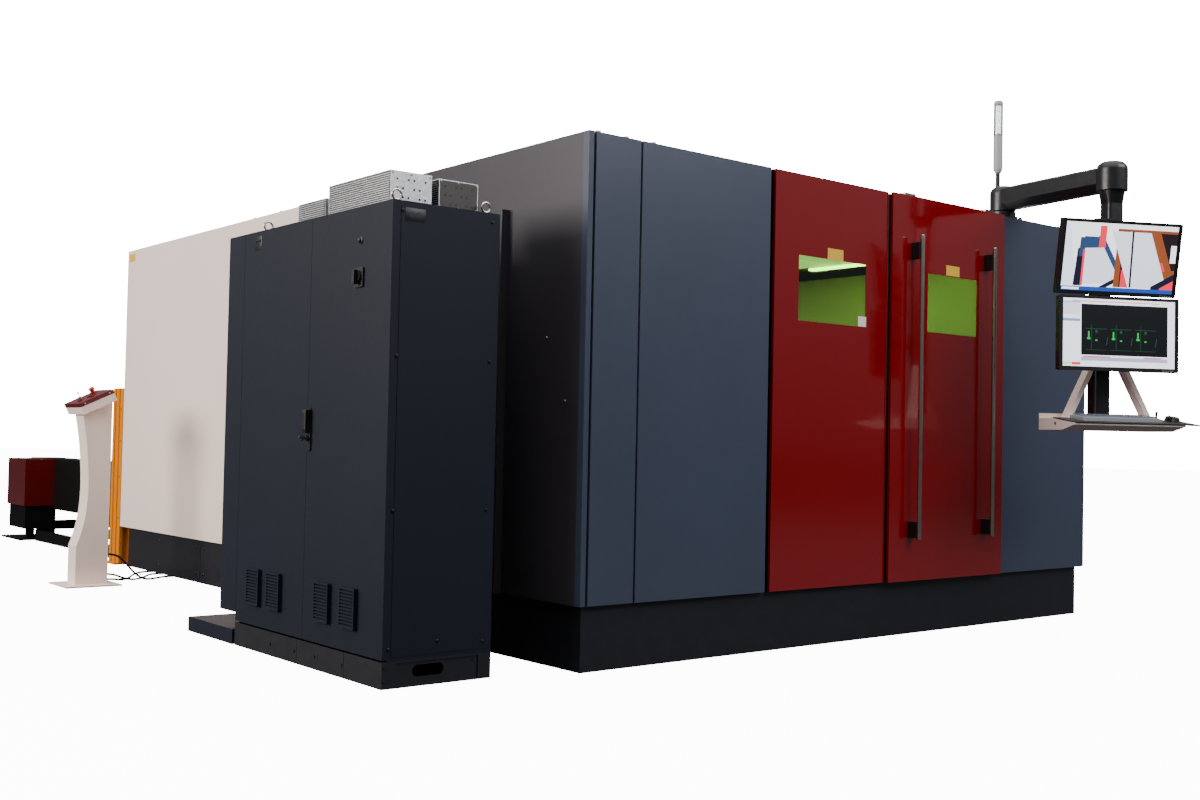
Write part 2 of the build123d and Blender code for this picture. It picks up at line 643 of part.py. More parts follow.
with BuildPart() as cabinet_key:
    block(door_face.offset(16), (-lock_y - 1.5, -lock_y + 1.5), (955, 967), 10)
    disc(left_side.offset(-box_x[0] + 26), (-lock_y, 961), 1.5, 4)
    with BuildSketch(front.offset(-lock_y + 1.5)):
        with Locations((box_x[0] - 36, 961)):
            Circle(13)
        with Locations((box_x[0] - 42, 955)):
            Circle(4, mode=Mode.SUBTRACT)
    extrude(amount=-3)
cabinet_key.part.label = "cabinet_key"
export_step(cabinet_key.part, "parts/cabinet_key.step")

with BuildPart() as switch_knob:
    disc(door_face.offset(11), (-400, 1613), 24, 6)
    block(door_face.offset(17), (-409, -391), (1584, 1642), 16, soft=4)
switch_knob.part.label = "switch_knob"
export_step(switch_knob.part, "parts/switch_knob.step")

with BuildPart() as cabinet_lamp:
    with BuildSketch(front.offset(-398)):
        with BuildLine():
            Polyline((box_x[0], 1763), (box_x[0], 1778), (box_x[0] - 4, 1778), (box_x[0] - 5, 1775),
                     (box_x[0] - 10, 1773), (box_x[0] - 13, 1769), (box_x[0] - 14, 1763), close=True)
        make_face()
    revolve(axis=Axis(at(box_x[0], 398, 1763), (1, 0, 0)))
cabinet_lamp.part.label = "cabinet_lamp"
export_step(cabinet_lamp.part, "parts/cabinet_lamp.step")

# Inside the cabinet: a mounting plate on studs with drives, breakers and wire ducts
with BuildPart() as cabinet_devices:
    plate = left_side.offset(45 - box_x[1])
    for i in range(4):
        y = box_y[0] + 130 + i * 290
        block(plate, (-y - 200, -y), (1350, 1680), 210)
        block(plate.offset(210), (-y - 180, -y - 20), (1500, 1640), -6, Mode.SUBTRACT)
    for z in (1080, 880):
        for i in range(9):
            y = box_y[0] + 120 + i * 118
            block(plate, (-y - 90, -y), (z, z + 110), 85)
    for z in (760, 1250, 1720):
        block(plate, (-box_y[1] + 90, -box_y[0] - 90), (z, z + 60), 70)
    block(plate, (-box_y[0] - 700, -box_y[0] - 200), (300, 620), 240)
    block(side.offset(box_x[1] - 45), (box_y[0] + 60, box_y[1] - 60), (230, 1800), 3)
    for y in (box_y[0] + 110, box_y[1] - 110):
        for z in (280, 1750):
            disc(side.offset(box_x[1] - 42), (y, z), 8, 39)
cabinet_devices.part.label = "cabinet_devices"
export_step(cabinet_devices.part, "parts/cabinet_devices.step")

# Cable riser behind the cabinet, with its neck and the duct on the floor
with BuildPart() as cable_riser:
    block(floor.offset(150), box_x, (box_y[1], riser_end), box_top - 150)
    block(floor.offset(153), (box_x[0] + 3, box_x[1] - 3), (box_y[1] + 4, riser_end - 3),
          box_top - 156, Mode.SUBTRACT)
    block(floor, (-850, -584), (box_y[1] + 19, 2020), 70)
    block(floor, (-847, -587), (box_y[1] + 22, 2017), 67, Mode.SUBTRACT)
    disc(floor.offset(67), (-715, 1575), 42, 86)
    disc(floor.offset(66), (-715, 1575), 36, 88, Mode.SUBTRACT)
cable_riser.part.label = "cable_riser"
export_step(cable_riser.part, "parts/cable_riser.step")

# Braking resistor boxes on the roof: folded sheet with rows of slots
with BuildPart() as resistor_boxes:
    for x0, y0, y1, top in ((-814, 231, 743, 2031), (-590, 231, 743, 2025), (-814, 770, 1020, 1985)):
        block(floor.offset(box_top), (x0, x0 + 190), (y0, y1), top - box_top)
        block(floor.offset(box_top), (x0 + 2, x0 + 188), (y0 + 2, y1 - 2), top - box_top - 2,
              Mode.SUBTRACT)
        for row in (0, 1):
            z = box_top + 24 + row * 44
            for i in range(int((y1 - y0 - 40) // 56)):
                y = y0 + 36 + i * 56
                block(side.offset(x0 - 1), (y, y + 34), (z, z + 10), 193, Mode.SUBTRACT)
resistor_boxes.part.label = "resistor_boxes"
export_step(resistor_boxes.part, "parts/resistor_boxes.step")

with BuildPart() as cabinet_eyebolts:
    for x, y in ((-803, 200), (-380, 200), (-803, 1340), (-380, 1340)):
        disc(floor.offset(box_top), (x, y), 12, 8)
        with Locations(Location(at(x, y, box_top + 4 + eyebolt_r + eyebolt_wire), (90, 0, 0))):
            Torus(eyebolt_r, eyebolt_wire)
cabinet_eyebolts.part.label = "cabinet_eyebolts"
export_step(cabinet_eyebolts.part, "parts/cabinet_eyebolts.step")

# Pendant arm: pedestal, swivelling beam with a hood at each end, hanging post
reach = (arm_end[0] - arm_root[0], arm_end[1] - arm_root[1])
reach_long = hypot(*reach)
arm_floor = roof_z + sheet
with BuildPart() as arm_pedestal:
    with BuildSketch(Plane(origin=at(*arm_root), x_dir=(1, 0, 0), z_dir=(0, -1, 0))):
        with BuildLine():
            Polyline((0, arm_floor), (125, arm_floor), (125, arm_floor + 14), (hood_r, arm_floor + 22),
                     (hood_r, arm_z[0] - 8), (hood_r - 8, arm_z[0]), (0, arm_z[0]), close=True)
        make_face()
    revolve(axis=Axis(at(*arm_root), (0, 0, 1)))
arm_pedestal.part.label = "arm_pedestal"
export_step(arm_pedestal.part, "parts/arm_pedestal.step")

along = Plane(origin=at(*arm_root), x_dir=(-reach[1], reach[0], 0), z_dir=(reach[0], reach[1], 0))


def hood(centre, radius, top):
    """Add a domed cap turned about a vertical axis."""
    with BuildSketch(Plane(origin=at(*centre), x_dir=(1, 0, 0), z_dir=(0, -1, 0))) as section:
        with BuildLine():
            Line((0, arm_z[0]), (radius, arm_z[0]))
            Line((radius, arm_z[0]), (radius, top - 45))
            ThreePointArc((radius, top - 45), (radius - 14, top - 12), (radius - 48, top))
            Line((radius - 48, top), (0, top))
            Line((0, top), (0, arm_z[0]))
        make_face()
    revolve(section.sketch, axis=Axis(at(*centre), (0, 0, 1)))


with BuildPart() as pendant_arm:
    half = arm_w / 2
    with BuildSketch(along.offset(30)):
        with BuildLine():
            Polyline((-half + 34, arm_z[0]), (half - 34, arm_z[0]), (half, arm_z[0] + 42),
                     (half, arm_z[1] - 10), (half - 10, arm_z[1]), (-half + 10, arm_z[1]),
                     (-half, arm_z[1] - 10), (-half, arm_z[0] + 42), close=True)
        make_face()
    extrude(amount=reach_long - 60)
    hood(arm_root, hood_r, 2490)
    hood(arm_end, end_hood_r, 2500)
pendant_arm.part.label = "pendant_arm"
export_step(pendant_arm.part, "parts/pendant_arm.step")

turn_x = cos(radians(view_turn))
turn_y = sin(radians(view_turn))
post_x, post_y = at(*arm_end)[:2]
pendant = Plane(origin=(post_x, post_y, 0), x_dir=(turn_x, -turn_y, 0), z_dir=(0, 0, 1))
pendant_face = Plane(origin=(post_x, post_y, 0), x_dir=(turn_x, -turn_y, 0), z_dir=(-turn_y, -turn_x, 0))
pendant_side = Plane(origin=(post_x, post_y, 0), x_dir=(turn_y, turn_x, 0), z_dir=(turn_x, -turn_y, 0))
with BuildPart() as pendant_post:
    with BuildSketch(pendant.offset(arm_z[0])):
        Circle(end_hood_r - 14)
    with BuildSketch(pendant.offset(arm_z[0] - 70)):
        RectangleRounded(post_w, post_w, 18)
    loft()
    with BuildSketch(pendant.offset(post_z[1] - 100)):
        RectangleRounded(post_w, post_w, 18)
    extrude(amount=arm_z[0] - 70 - post_z[1] + 100)
    block(pendant_side.offset(post_u), (-post_w / 2, post_w / 2), (post_z[1] - 100, post_z[1]),
          -post_u)
    with BuildSketch(pendant.offset(post_z[0])):
        with Locations((post_u, 0)):
            RectangleRounded(post_w, post_w, 18)
    extrude(amount=post_z[1] - post_z[0])
    block(pendant.offset(deck_z), (post_u - 58, post_u + 58), (-50, 50), post_z[0] - deck_z, soft=8)
    for z in (top_screen_z, low_screen_z):
        block(pendant_face.offset(post_w / 2), (post_u - 38, post_u + 38), (z - 55, z + 55), 12)
        block(pendant_face.offset(post_w / 2 + 12), (post_u - 20, post_u + 20), (z - 12, z + 12),
              pivot_out - post_w / 2 - 12)
        disc(pendant_side.offset(post_u - 20), (-pivot_out, z), 14, 40)
pendant_post.part.label = "pendant_post"
export_step(pendant_post.part, "parts/pendant_post.step")


def monitor(face, u):
    """Add a flat screen: thin casing with a dished front and a boss at the back."""
    block(face, (u - screen_w / 2, u + screen_w / 2), (-screen_h / 2, screen_h / 2), -34, soft=8)
    block(face, (u - screen_w / 2 + 12, u + screen_w / 2 - 12), (-screen_h / 2 + 16, screen_h / 2 - 12),
          -2, Mode.SUBTRACT)
    block(face.offset(-34), (u - 190, u + 190), (-110, 110), -24, soft=20)


def screen_plane(z, tilt):
    """The plane of a screen's front, leaning its top towards the operator."""
    lean = radians(tilt)
    middle = (post_x - turn_y * screen_out, post_y - turn_x * screen_out, z)
    normal = (-turn_y * cos(lean), -turn_x * cos(lean), -sin(lean))
    return Plane(origin=middle, x_dir=(turn_x, -turn_y, 0), z_dir=normal)


top_plane = screen_plane(top_screen_z, screen_tilt)
low_plane = screen_plane(low_screen_z, 0)
def fork(z):
    """Add the two cheeks and the crown that hold a screen on its knuckle."""
    for u in (post_u - 32.3, post_u + 20.3):
        disc(pendant_side.offset(u), (-pivot_out, z), 16, 12)
        block(pendant_side.offset(u), (-pivot_out - 56, -pivot_out), (z - 16, z + 16), 12)
    block(pendant_face.offset(pivot_out + 20), (post_u - 32.3, post_u + 32.3), (z - 16, z + 16), 36)


with BuildPart() as top_monitor:
    monitor(top_plane, screen_u)
    fork(top_screen_z)
top_monitor.part.label = "top_monitor"
export_step(top_monitor.part, "parts/top_monitor.step")

with BuildPart() as low_monitor:
    monitor(low_plane, screen_u)
    fork(low_screen_z)
low_monitor.part.label = "low_monitor"
export_step(low_monitor.part, "parts/low_monitor.step")

# Tray: a hollow wedge of folded sheet with two braces up to the post
nose_y = tray_back - tray_deep
fold_y = tray_back - tray_flat
slope = atan2(deck_z - tray_z[1] - 8, deck_step - nose_y)
tray_outline = [(tray_back, tray_z[2]), (tray_back, tray_z[0]), (fold_y, tray_z[0]),
                (nose_y, tray_z[1]), (nose_y, tray_z[1] + 8), (deck_step, deck_z),
                (tray_back - 3, deck_z), (tray_back - 3, tray_z[2])]
tray_hollow = [(tray_back - 3, deck_z - 3), (tray_back - 3, tray_z[0] + 3), (fold_y, tray_z[0] + 3),
               (nose_y + 20, tray_z[1] + 1), (nose_y + 20, tray_z[1] + 6), (deck_step, deck_z - 3)]
deck = Plane(origin=(post_x + turn_y * deck_step, post_y + turn_x * deck_step, deck_z),
             x_dir=(turn_x, -turn_y, 0),
             z_dir=(-turn_y * sin(slope), -turn_x * sin(slope), cos(slope)))
with BuildPart() as control_tray:
    with BuildSketch(pendant_side.offset(tray_u[0])):
        with BuildLine():
            Polyline(*tray_outline, close=True)
        make_face()
    extrude(amount=tray_u[1] - tray_u[0])
    with BuildSketch(pendant_side.offset(tray_u[0] + 3)):
        with BuildLine():
            Polyline(*tray_hollow, close=True)
        make_face()
    extrude(amount=tray_u[1] - tray_u[0] - 6, mode=Mode.SUBTRACT)
    disc(pendant_side.offset(tray_u[0] - 1), (fold_y + 70, 1108), 9, 5, Mode.SUBTRACT)
    disc(pendant.offset(deck_z), (22, 0), 15, 3)
    disc(pendant.offset(deck_z - 4), (22, 0), 8.3, 8, Mode.SUBTRACT)
    for foot, head, z in ((-270, post_u - post_w / 2, 1455), (231, post_u + post_w / 2, 1616)):
        wide = 30 if head > foot else -30
        with BuildSketch(pendant_face.offset(-30)) as brace:
            with BuildLine():
                Polyline((foot, deck_z), (foot + wide, deck_z), (head, z - 60), (head, z), close=True)
            make_face()
        extrude(brace.sketch, amount=60)
        with BuildSketch(pendant_face.offset(-26)) as channel:
            with BuildLine():
                Polyline((foot + wide / 8, deck_z + 4), (foot + wide, deck_z + 4), (head - wide / 8, z - 60),
                         (head - wide / 8, z - 10), close=True)
            make_face()
        extrude(channel.sketch, amount=52, mode=Mode.SUBTRACT)
control_tray.part.label = "control_tray"
export_step(control_tray.part, "parts/control_tray.step")

with BuildPart() as tray_plate:
    block(deck, (tray_u[0] + 6, plate_end), (nose_y - deck_step - 6, 0), 5)
    block(deck, (tray_u[1] + 20, plate_end), (nose_y - deck_step - 6, nose_y - deck_step + 30), -3)
    disc(deck.offset(5), (205, -30), 18, 5)
    disc(deck.offset(6), (205, -30), 8.8, 5, Mode.SUBTRACT)
tray_plate.part.label = "tray_plate"
export_step(tray_plate.part, "parts/tray_plate.step")

with BuildPart() as keyboard:
    block(deck.offset(5), (-285, 165), (-146, -14), 16, soft=8)
    block(deck.offset(16), (-277, 157), (-138, -22), 6, Mode.SUBTRACT)
    block(deck.offset(16), (-275, 155), (-136, -24), 8, soft=4)
keyboard.part.label = "keyboard"
export_step(keyboard.part, "parts/keyboard.step")

with BuildPart() as mouse:
    with BuildSketch(deck.offset(5)):
        with Locations((272, -70)):
            Ellipse(32, 52)
    extrude(amount=26, taper=14)
    fillet(faces().sort_by(Axis.Z)[-1].edges(), 12)
mouse.part.label = "mouse"
export_step(mouse.part, "parts/mouse.step")

with BuildPart() as joystick:
    disc(deck.offset(9), (205, -30), 8, 10)
    disc(deck.offset(19), (205, -30), 6, 22)
    disc(deck.offset(40.5), (205, -30), 8, 9)
joystick.part.label = "joystick"
export_step(joystick.part, "parts/joystick.step")


def mushroom(plane, centre, radius, high, stem, stem_r):
    """Add a stop button: stem below, domed head above."""
    disc(plane.offset(-stem), centre, stem_r, stem)
    disc(plane, centre, radius, high * 0.45)
    with BuildSketch(plane.offset(high * 0.45)) as cap:
        with Locations(centre):
            Circle(radius)
    extrude(cap.sketch, amount=high * 0.55, taper=28)


with BuildPart() as pendant_stop:
    mushroom(pendant.offset(deck_z + 8), (22, 0), 20, 15, 16, 8)
pendant_stop.part.label = "pendant_stop"
export_step(pendant_stop.part, "parts/pendant_stop.step")

# Signal tower behind the arm
with BuildPart() as signal_tower:
    with BuildSketch(Plane(origin=at(*tower_xy), x_dir=(1, 0, 0), z_dir=(0, -1, 0))):
        with BuildLine():
            Polyline((0, arm_floor), (38, arm_floor), (38, arm_floor + 8), (13, arm_floor + 26),
                     (13, 2600), (20, 2606), (27, 2622), (27, 2823), (22, 2823), (22, 2829), (9, 2829),
                     (9, 3008), (27, 3008), (27, 3022), (20, 3031), (0, 3031), close=True)
        make_face()
    revolve(axis=Axis(at(*tower_xy), (0, 0, 1)))
signal_tower.part.label = "signal_tower"
export_step(signal_tower.part, "parts/signal_tower.step")

with BuildPart() as tower_lens:
    with BuildSketch(Plane(origin=at(*tower_xy), x_dir=(1, 0, 0), z_dir=(0, -1, 0))):
        with BuildLine():
            Polyline((22.2, 2823), (27, 2823), (27, 2882), (25, 2885), (27, 2888), (27, 2944), (25, 2947),
                     (27, 2950), (27, 3008), (22.2, 3008), close=True)
        make_face()
    revolve(axis=Axis(at(*tower_xy), (0, 0, 1)))
tower_lens.part.label = "tower_lens"
export_step(tower_lens.part, "parts/tower_lens.step")

# Console: a waisted stand on a floor plate with a tilted hollow head
lean = radians(head_turn)
head_plane = Plane(origin=at(head_corner[0], head_y[0], head_corner[1]), x_dir=(cos(lean), 0, sin(lean)),
                   z_dir=(-sin(lean), 0, cos(lean)))
head_wide = head_y[1] - head_y[0]
with BuildPart() as console_stand:
    block(floor, console_x, console_y, 10)
    with BuildSketch(front.offset(-stand_y[0])):
        with BuildLine():
            Polyline((-705, 250), (-705, 10), (-506, 10), (-506, 1176), (-690, 1088))
            Spline((-690, 1088), (-668, 960), (-646, 751), (-652, 453), (-705, 250))
        make_face()
    extrude(amount=stand_y[0] - stand_y[1])
    block(head_plane, (0, head_long), (0, head_wide), head_t)
    block(head_plane.offset(5), (4, head_long - 4), (4, head_wide - 4), head_t, Mode.SUBTRACT)
console_stand.part.label = "console_stand"
export_step(console_stand.part, "parts/console_stand.step")

button_uv = ((35, 92), (105, 60), (105, 110))
key_uv = (62, 150)
stop_uv = (160, 185)
lid = head_plane.offset(head_t)
with BuildPart() as console_cover:
    block(lid, (-2, head_long + 2), (-2, head_wide + 2), cover_t)
    block(lid, (2, head_long - 2), (2, head_wide - 2), cover_t - 4, Mode.SUBTRACT)
    for spot in button_uv:
        disc(lid.offset(cover_t), spot, 15, 3)
        disc(lid.offset(cover_t - 5), spot, 11, 9, Mode.SUBTRACT)
    disc(lid.offset(cover_t), key_uv, 16, 4)
    disc(lid.offset(cover_t - 5), key_uv, 11, 10, Mode.SUBTRACT)
    disc(lid.offset(cover_t), stop_uv, 24, 3)
    disc(lid.offset(cover_t - 5), stop_uv, 11, 9, Mode.SUBTRACT)
console_cover.part.label = "console_cover"
export_step(console_cover.part, "parts/console_cover.step")

top = lid.offset(cover_t)
with BuildPart() as start_button:
    disc(top.offset(-14), button_uv[0], 10.9, 20)
start_button.part.label = "start_button"
export_step(start_button.part, "parts/start_button.step")

with BuildPart() as left_button:
    disc(top.offset(-14), button_uv[1], 10.9, 20)
left_button.part.label = "left_button"
export_step(left_button.part, "parts/left_button.step")

with BuildPart() as right_button:
    disc(top.offset(-14), button_uv[2], 10.9, 20)
right_button.part.label = "right_button"
export_step(right_button.part, "parts/right_button.step")

with BuildPart() as key_selector:
    disc(top.offset(-14), key_uv, 10.9, 34)
    block(top.offset(20), (key_uv[0] - 2, key_uv[0] + 2), (key_uv[1] - 4, key_uv[1] + 4), 16)
    with BuildSketch(Plane(origin=top.from_local_coords(Vector(key_uv[0], key_uv[1], 46)),
                           x_dir=top.y_dir, z_dir=top.x_dir)):
        Circle(12)
    extrude(amount=2, both=True)
key_selector.part.label = "key_selector"
export_step(key_selector.part, "parts/key_selector.step")

with BuildPart() as console_stop:
    mushroom(top.offset(26), stop_uv, 20, 18, 38, 10.9)
    disc(top.offset(8), stop_uv, 15, 20)
console_stop.part.label = "console_stop"
export_step(console_stop.part, "parts/console_stop.step")

# Light-curtain column: grooved profile on a foot plate
with BuildPart() as curtain_column:
    with BuildSketch(floor.offset(12)):
        with Locations((sum(column_x) / 2, sum(column_y) / 2)):
            RectangleRounded(column_x[1] - column_x[0], column_y[1] - column_y[0], 6)
        for y in (column_y[0] + 60, column_y[1] - 60):
            for x in (column_x[0] + 4, column_x[1] - 4):
                with Locations((x, y)):
                    Rectangle(8, 22, mode=Mode.SUBTRACT)
        with Locations((sum(column_x) / 2, column_y[0] + 5)):
            Rectangle(44, 10, mode=Mode.SUBTRACT)
    extrude(amount=column_h - 12)
    block(floor, (column_x[0] - 25, column_x[1] + 25), (column_y[0] + 2, column_y[1] + 40), 12)
curtain_column.part.label = "curtain_column"
export_step(curtain_column.part, "parts/curtain_column.step")

# Cords between the console and the cabin: straight runs joined by tangent arcs
cord_r = 7.0


def cord(points):
    """Add one round cord through the points and print its bend radii."""
    radii = []
    for a, b, c in zip(points, points[1:], points[2:]):
        one = (Vector(*b) - Vector(*a))
        two = (Vector(*c) - Vector(*b))
        turn = radians(one.get_angle(two))
        radii.append(0.45 * min(one.length, two.length) / tan(turn / 2))
    print("bend radii", [round(r) for r in radii])
    with BuildLine() as path:
        FilletPolyline(*[at(*p) for p in points], radius=radii)
    with BuildSketch(path.line ^ 0) as section:
        Circle(cord_r)
    sweep(section.sketch, path=path.wires()[0])


with BuildPart() as floor_cords:
    cord([(-506, 4190, 190), (-446, 4190, 190), (-382, 4204, 140), (-310, 4230, 62),
          (-225, 4270, 7.2), (-110, 4340, 7.2), (-40, 4400, 7.2), (28, 4400, 7.2)])
    cord([(-506, 4240, 60), (-446, 4240, 60), (-370, 4258, 28), (-290, 4300, 7.2),
          (-190, 4390, 7.2), (-110, 4520, 7.2), (-50, 4600, 7.2), (28, 4600, 7.2)])
    cord([(-506, 4285, 22), (-440, 4285, 22), (-350, 4330, 7.2), (-270, 4420, 7.2),
          (-200, 4560, 7.2), (-120, 4700, 7.2), (-40, 4760, 7.2), (28, 4760, 7.2)])
floor_cords.part.label = "floor_cords"
export_step(floor_cords.part, "parts/floor_cords.step")
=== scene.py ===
# %% [markdown]
# # A laser cutting machine with its cabinet and pendant
# The solids of the machine come in as a frame, in metres, with the origin on the
# floor under the middle of the cabin. This file gives them paint, glass and light,
# and adds the small things that a solid model leaves out. The solids could be
# rebuilt here with finer edges, but they are left as they are, so that the picture
# and the model stay one machine.

# %% Load the frame
import json
import math
import bmesh
import bpy
from mathutils import Matrix, Vector


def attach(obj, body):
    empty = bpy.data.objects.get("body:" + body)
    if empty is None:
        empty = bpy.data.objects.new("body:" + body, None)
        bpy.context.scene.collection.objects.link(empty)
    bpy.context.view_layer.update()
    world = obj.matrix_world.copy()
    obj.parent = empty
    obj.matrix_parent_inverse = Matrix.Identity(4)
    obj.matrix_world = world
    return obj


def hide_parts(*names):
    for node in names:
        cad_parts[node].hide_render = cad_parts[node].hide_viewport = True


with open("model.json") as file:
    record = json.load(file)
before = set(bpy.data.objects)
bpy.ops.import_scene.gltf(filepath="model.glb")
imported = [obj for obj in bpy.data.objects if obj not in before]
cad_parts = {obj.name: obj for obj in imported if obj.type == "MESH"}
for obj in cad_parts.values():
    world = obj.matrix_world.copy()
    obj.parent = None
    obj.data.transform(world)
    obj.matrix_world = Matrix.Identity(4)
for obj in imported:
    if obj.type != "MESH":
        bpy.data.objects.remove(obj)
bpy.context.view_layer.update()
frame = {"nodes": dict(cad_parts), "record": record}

# %% [markdown]
# ## Places as on the drawing
# A machine's drawing measures from a corner that can be touched with a tape, and
# the scene measures from the middle of the floor. Every place could be typed in
# metres from that middle, but then none of them could be read off the machine. So
# places are written in millimetres from the cabin's front left corner, and one
# function turns them into the scene's metres.

# %% Turn a place on the drawing into a point of the scene
CABIN_W, CABIN_D = 3845, 5363
LEFT, RIGHT, FRONT = (-1, 0, 0), (1, 0, 0), (0, -1, 0)
UP, DOWN, BACK = (0, 0, 1), (0, 0, -1), (0, 1, 0)


def at(x, y, z=0.0):
    """A point given in millimetres from the cabin's front left corner."""
    return Vector((x - CABIN_W / 2, y - CABIN_D / 2, z)) / 1000


print("the cabin's front left corner is at", [round(c, 3) for c in at(0, 0)])

# %% [markdown]
# ## The camera
# The machine is seen from its front left, with a moderate lens held just under a
# metre high and tilted up by less than two degrees. A camera can be aimed with a
# constraint at an empty, which hides its angles. Here the three angles are known,
# so they build the camera's own axes directly and nothing is aimed by hand.

# %% Place the camera
YAW, PITCH, ROLL = math.radians(39.32), math.radians(1.673), math.radians(1.157)
EYE = at(-3490, -4366, 982.5)
LENS, FAR_CLIP = 40.14, 200
forward = Vector((math.sin(YAW) * math.cos(PITCH), math.cos(YAW) * math.cos(PITCH), math.sin(PITCH)))
level = Vector((math.cos(YAW), -math.sin(YAW), 0))
upright = level.cross(forward)
right = math.cos(ROLL) * level + math.sin(ROLL) * upright
above = math.cos(ROLL) * upright - math.sin(ROLL) * level
camera = bpy.data.objects.new("camera", bpy.data.cameras.new("camera"))
camera.data.lens = LENS
camera.data.clip_end = FAR_CLIP
camera.matrix_world = Matrix.Translation(EYE) @ Matrix((right, above, -forward)).transposed().to_4x4()
bpy.context.collection.objects.link(camera)
bpy.context.scene.camera = camera
print("camera at", [round(c, 3) for c in EYE])

# %% [markdown]
# ## Helpers for node trees
# A material is a tree of nodes, and each node takes three or four lines to add, set
# and link. Written out in full, a tree hides what it does behind those lines. Six
# small functions keep one thought on one line, and they take a fixed value or a
# link in the same place.

# %% Add a node, feed an input, do a sum
def node(tree, kind, **values):
    """Add a node and set its plain properties."""
    made = tree.nodes.new(kind)
    for key, value in values.items():
        setattr(made, key, value)
    return made


def feed(tree, target, source):
    """Give an input a link or a fixed value."""
    if isinstance(source, bpy.types.NodeSocket):
        tree.links.new(source, target)
    else:
        target.default_value = source


def sums(tree, operation, *sources):
    """One Math node with its inputs fed in order."""
    made = node(tree, "ShaderNodeMath", operation=operation)
    for target, source in zip(made.inputs, sources):
        feed(tree, target, source)
    return made.outputs[0]


print("helpers for single nodes ready")

# %% Stretch a value, make noise, mix colours
def span(tree, value, low, high):
    """Stretch a value between two limits to 0 and 1."""
    made = node(tree, "ShaderNodeMapRange")
    feed(tree, made.inputs["Value"], value)
    made.inputs["From Min"].default_value = low
    made.inputs["From Max"].default_value = high
    return made.outputs["Result"]


def noise(tree, where, scale, detail):
    """A noise value at the given place."""
    made = node(tree, "ShaderNodeTexNoise")
    feed(tree, made.inputs["Vector"], where)
    feed(tree, made.inputs["Scale"], scale)
    made.inputs["Detail"].default_value = detail
    return made.outputs["Fac"]


def blend(tree, factor, a, b):
    """Mix two colours."""
    made = node(tree, "ShaderNodeMix", data_type="RGBA")
    feed(tree, made.inputs["Factor"], factor)
    feed(tree, made.inputs["A"], a)
    feed(tree, made.inputs["B"], b)
    return made.outputs["Result"]


print("helpers for values and colours ready")

# %% [markdown]
# ## The coat on sheet metal
# Powder coat is never flat: it has a fine orange peel, faint clouds in its colour,
# smears where hands and cloths have been, and dust that gathers low down. Each
# paint could carry its own nodes for these, but one change would then be made
# twenty times. A node group holds them once, with a named input for each amount,
# and reads the object's own coordinates, so that it needs no unwrapping.

# %% Start a node group with its sockets
def new_group(name, ins, outs):
    """A node group with its sockets, and its input and output nodes."""
    tree = bpy.data.node_groups.new(name, "ShaderNodeTree")
    for label, kind, value in ins:
        made = tree.interface.new_socket(name=label, in_out="INPUT", socket_type="NodeSocket" + kind)
        made.default_value = value
    for label, kind in outs:
        tree.interface.new_socket(name=label, in_out="OUTPUT", socket_type="NodeSocket" + kind)
    return tree, tree.nodes.new("NodeGroupInput").outputs, tree.nodes.new("NodeGroupOutput").inputs


print("helper for node groups ready")

# %% The group that makes a surface look used
DUST, DUST_TOP = (0.20, 0.18, 0.165, 1), 0.8
CLOUD_SCALE, SMEAR_SCALE = 1.7, 24
PEEL_DEPTH = 0.0004


def build_coat():
    """Colour clouds, dust low down, a roughness map and an orange-peel normal."""
    tree, ins, outs = new_group("coat", (
        ("Color", "Color", (0.5, 0.5, 0.5, 1)), ("Clouds", "Float", 0.15), ("Roughness", "Float", 0.4),
        ("Smears", "Float", 0.1), ("Peel Scale", "Float", 400.0), ("Peel", "Float", 0.1),
        ("Dust", "Float", 0.0)), (("Color", "Color"), ("Roughness", "Float"), ("Normal", "Vector")))
    where = node(tree, "ShaderNodeTexCoord").outputs["Object"]
    cloud = sums(tree, "SUBTRACT", span(tree, noise(tree, where, CLOUD_SCALE, 5), 0.3, 0.7), 0.5)
    shade = node(tree, "ShaderNodeVectorMath", operation="SCALE")
    feed(tree, shade.inputs[0], ins["Color"])
    feed(tree, shade.inputs["Scale"], sums(tree, "MULTIPLY_ADD", cloud, ins["Clouds"], 1.0))
    split = node(tree, "ShaderNodeSeparateXYZ")
    feed(tree, split.inputs[0], where)
    fine = noise(tree, where, SMEAR_SCALE, 6)
    low = sums(tree, "MULTIPLY", span(tree, split.outputs["Z"], DUST_TOP, 0.0), fine)
    feed(tree, outs["Color"], blend(tree, sums(tree, "MULTIPLY", low, ins["Dust"]), shade.outputs[0], DUST))
    feed(tree, outs["Roughness"], sums(tree, "MULTIPLY_ADD", fine, ins["Smears"], ins["Roughness"]))
    bump = node(tree, "ShaderNodeBump")
    bump.inputs["Distance"].default_value = PEEL_DEPTH
    feed(tree, bump.inputs["Strength"], ins["Peel"])
    feed(tree, bump.inputs["Height"], noise(tree, where, ins["Peel Scale"], 2))
    feed(tree, outs["Normal"], bump.outputs["Normal"])
    return tree


COAT = build_coat()
print("group", COAT.name, len(COAT.nodes), "nodes")

# %% [markdown]
# ## Zinc
# Hot-dipped zinc freezes into flat crystals, each of which takes the light in its
# own way. A picture of zinc sheet would repeat and stretch over the boxes. Cells
# of a Voronoi pattern have the right shape at any size: each cell's random colour
# gives one value for its brightness and another for its roughness.

# %% The group that makes zinc crystals
CRYSTALS_PER_M = 160.0


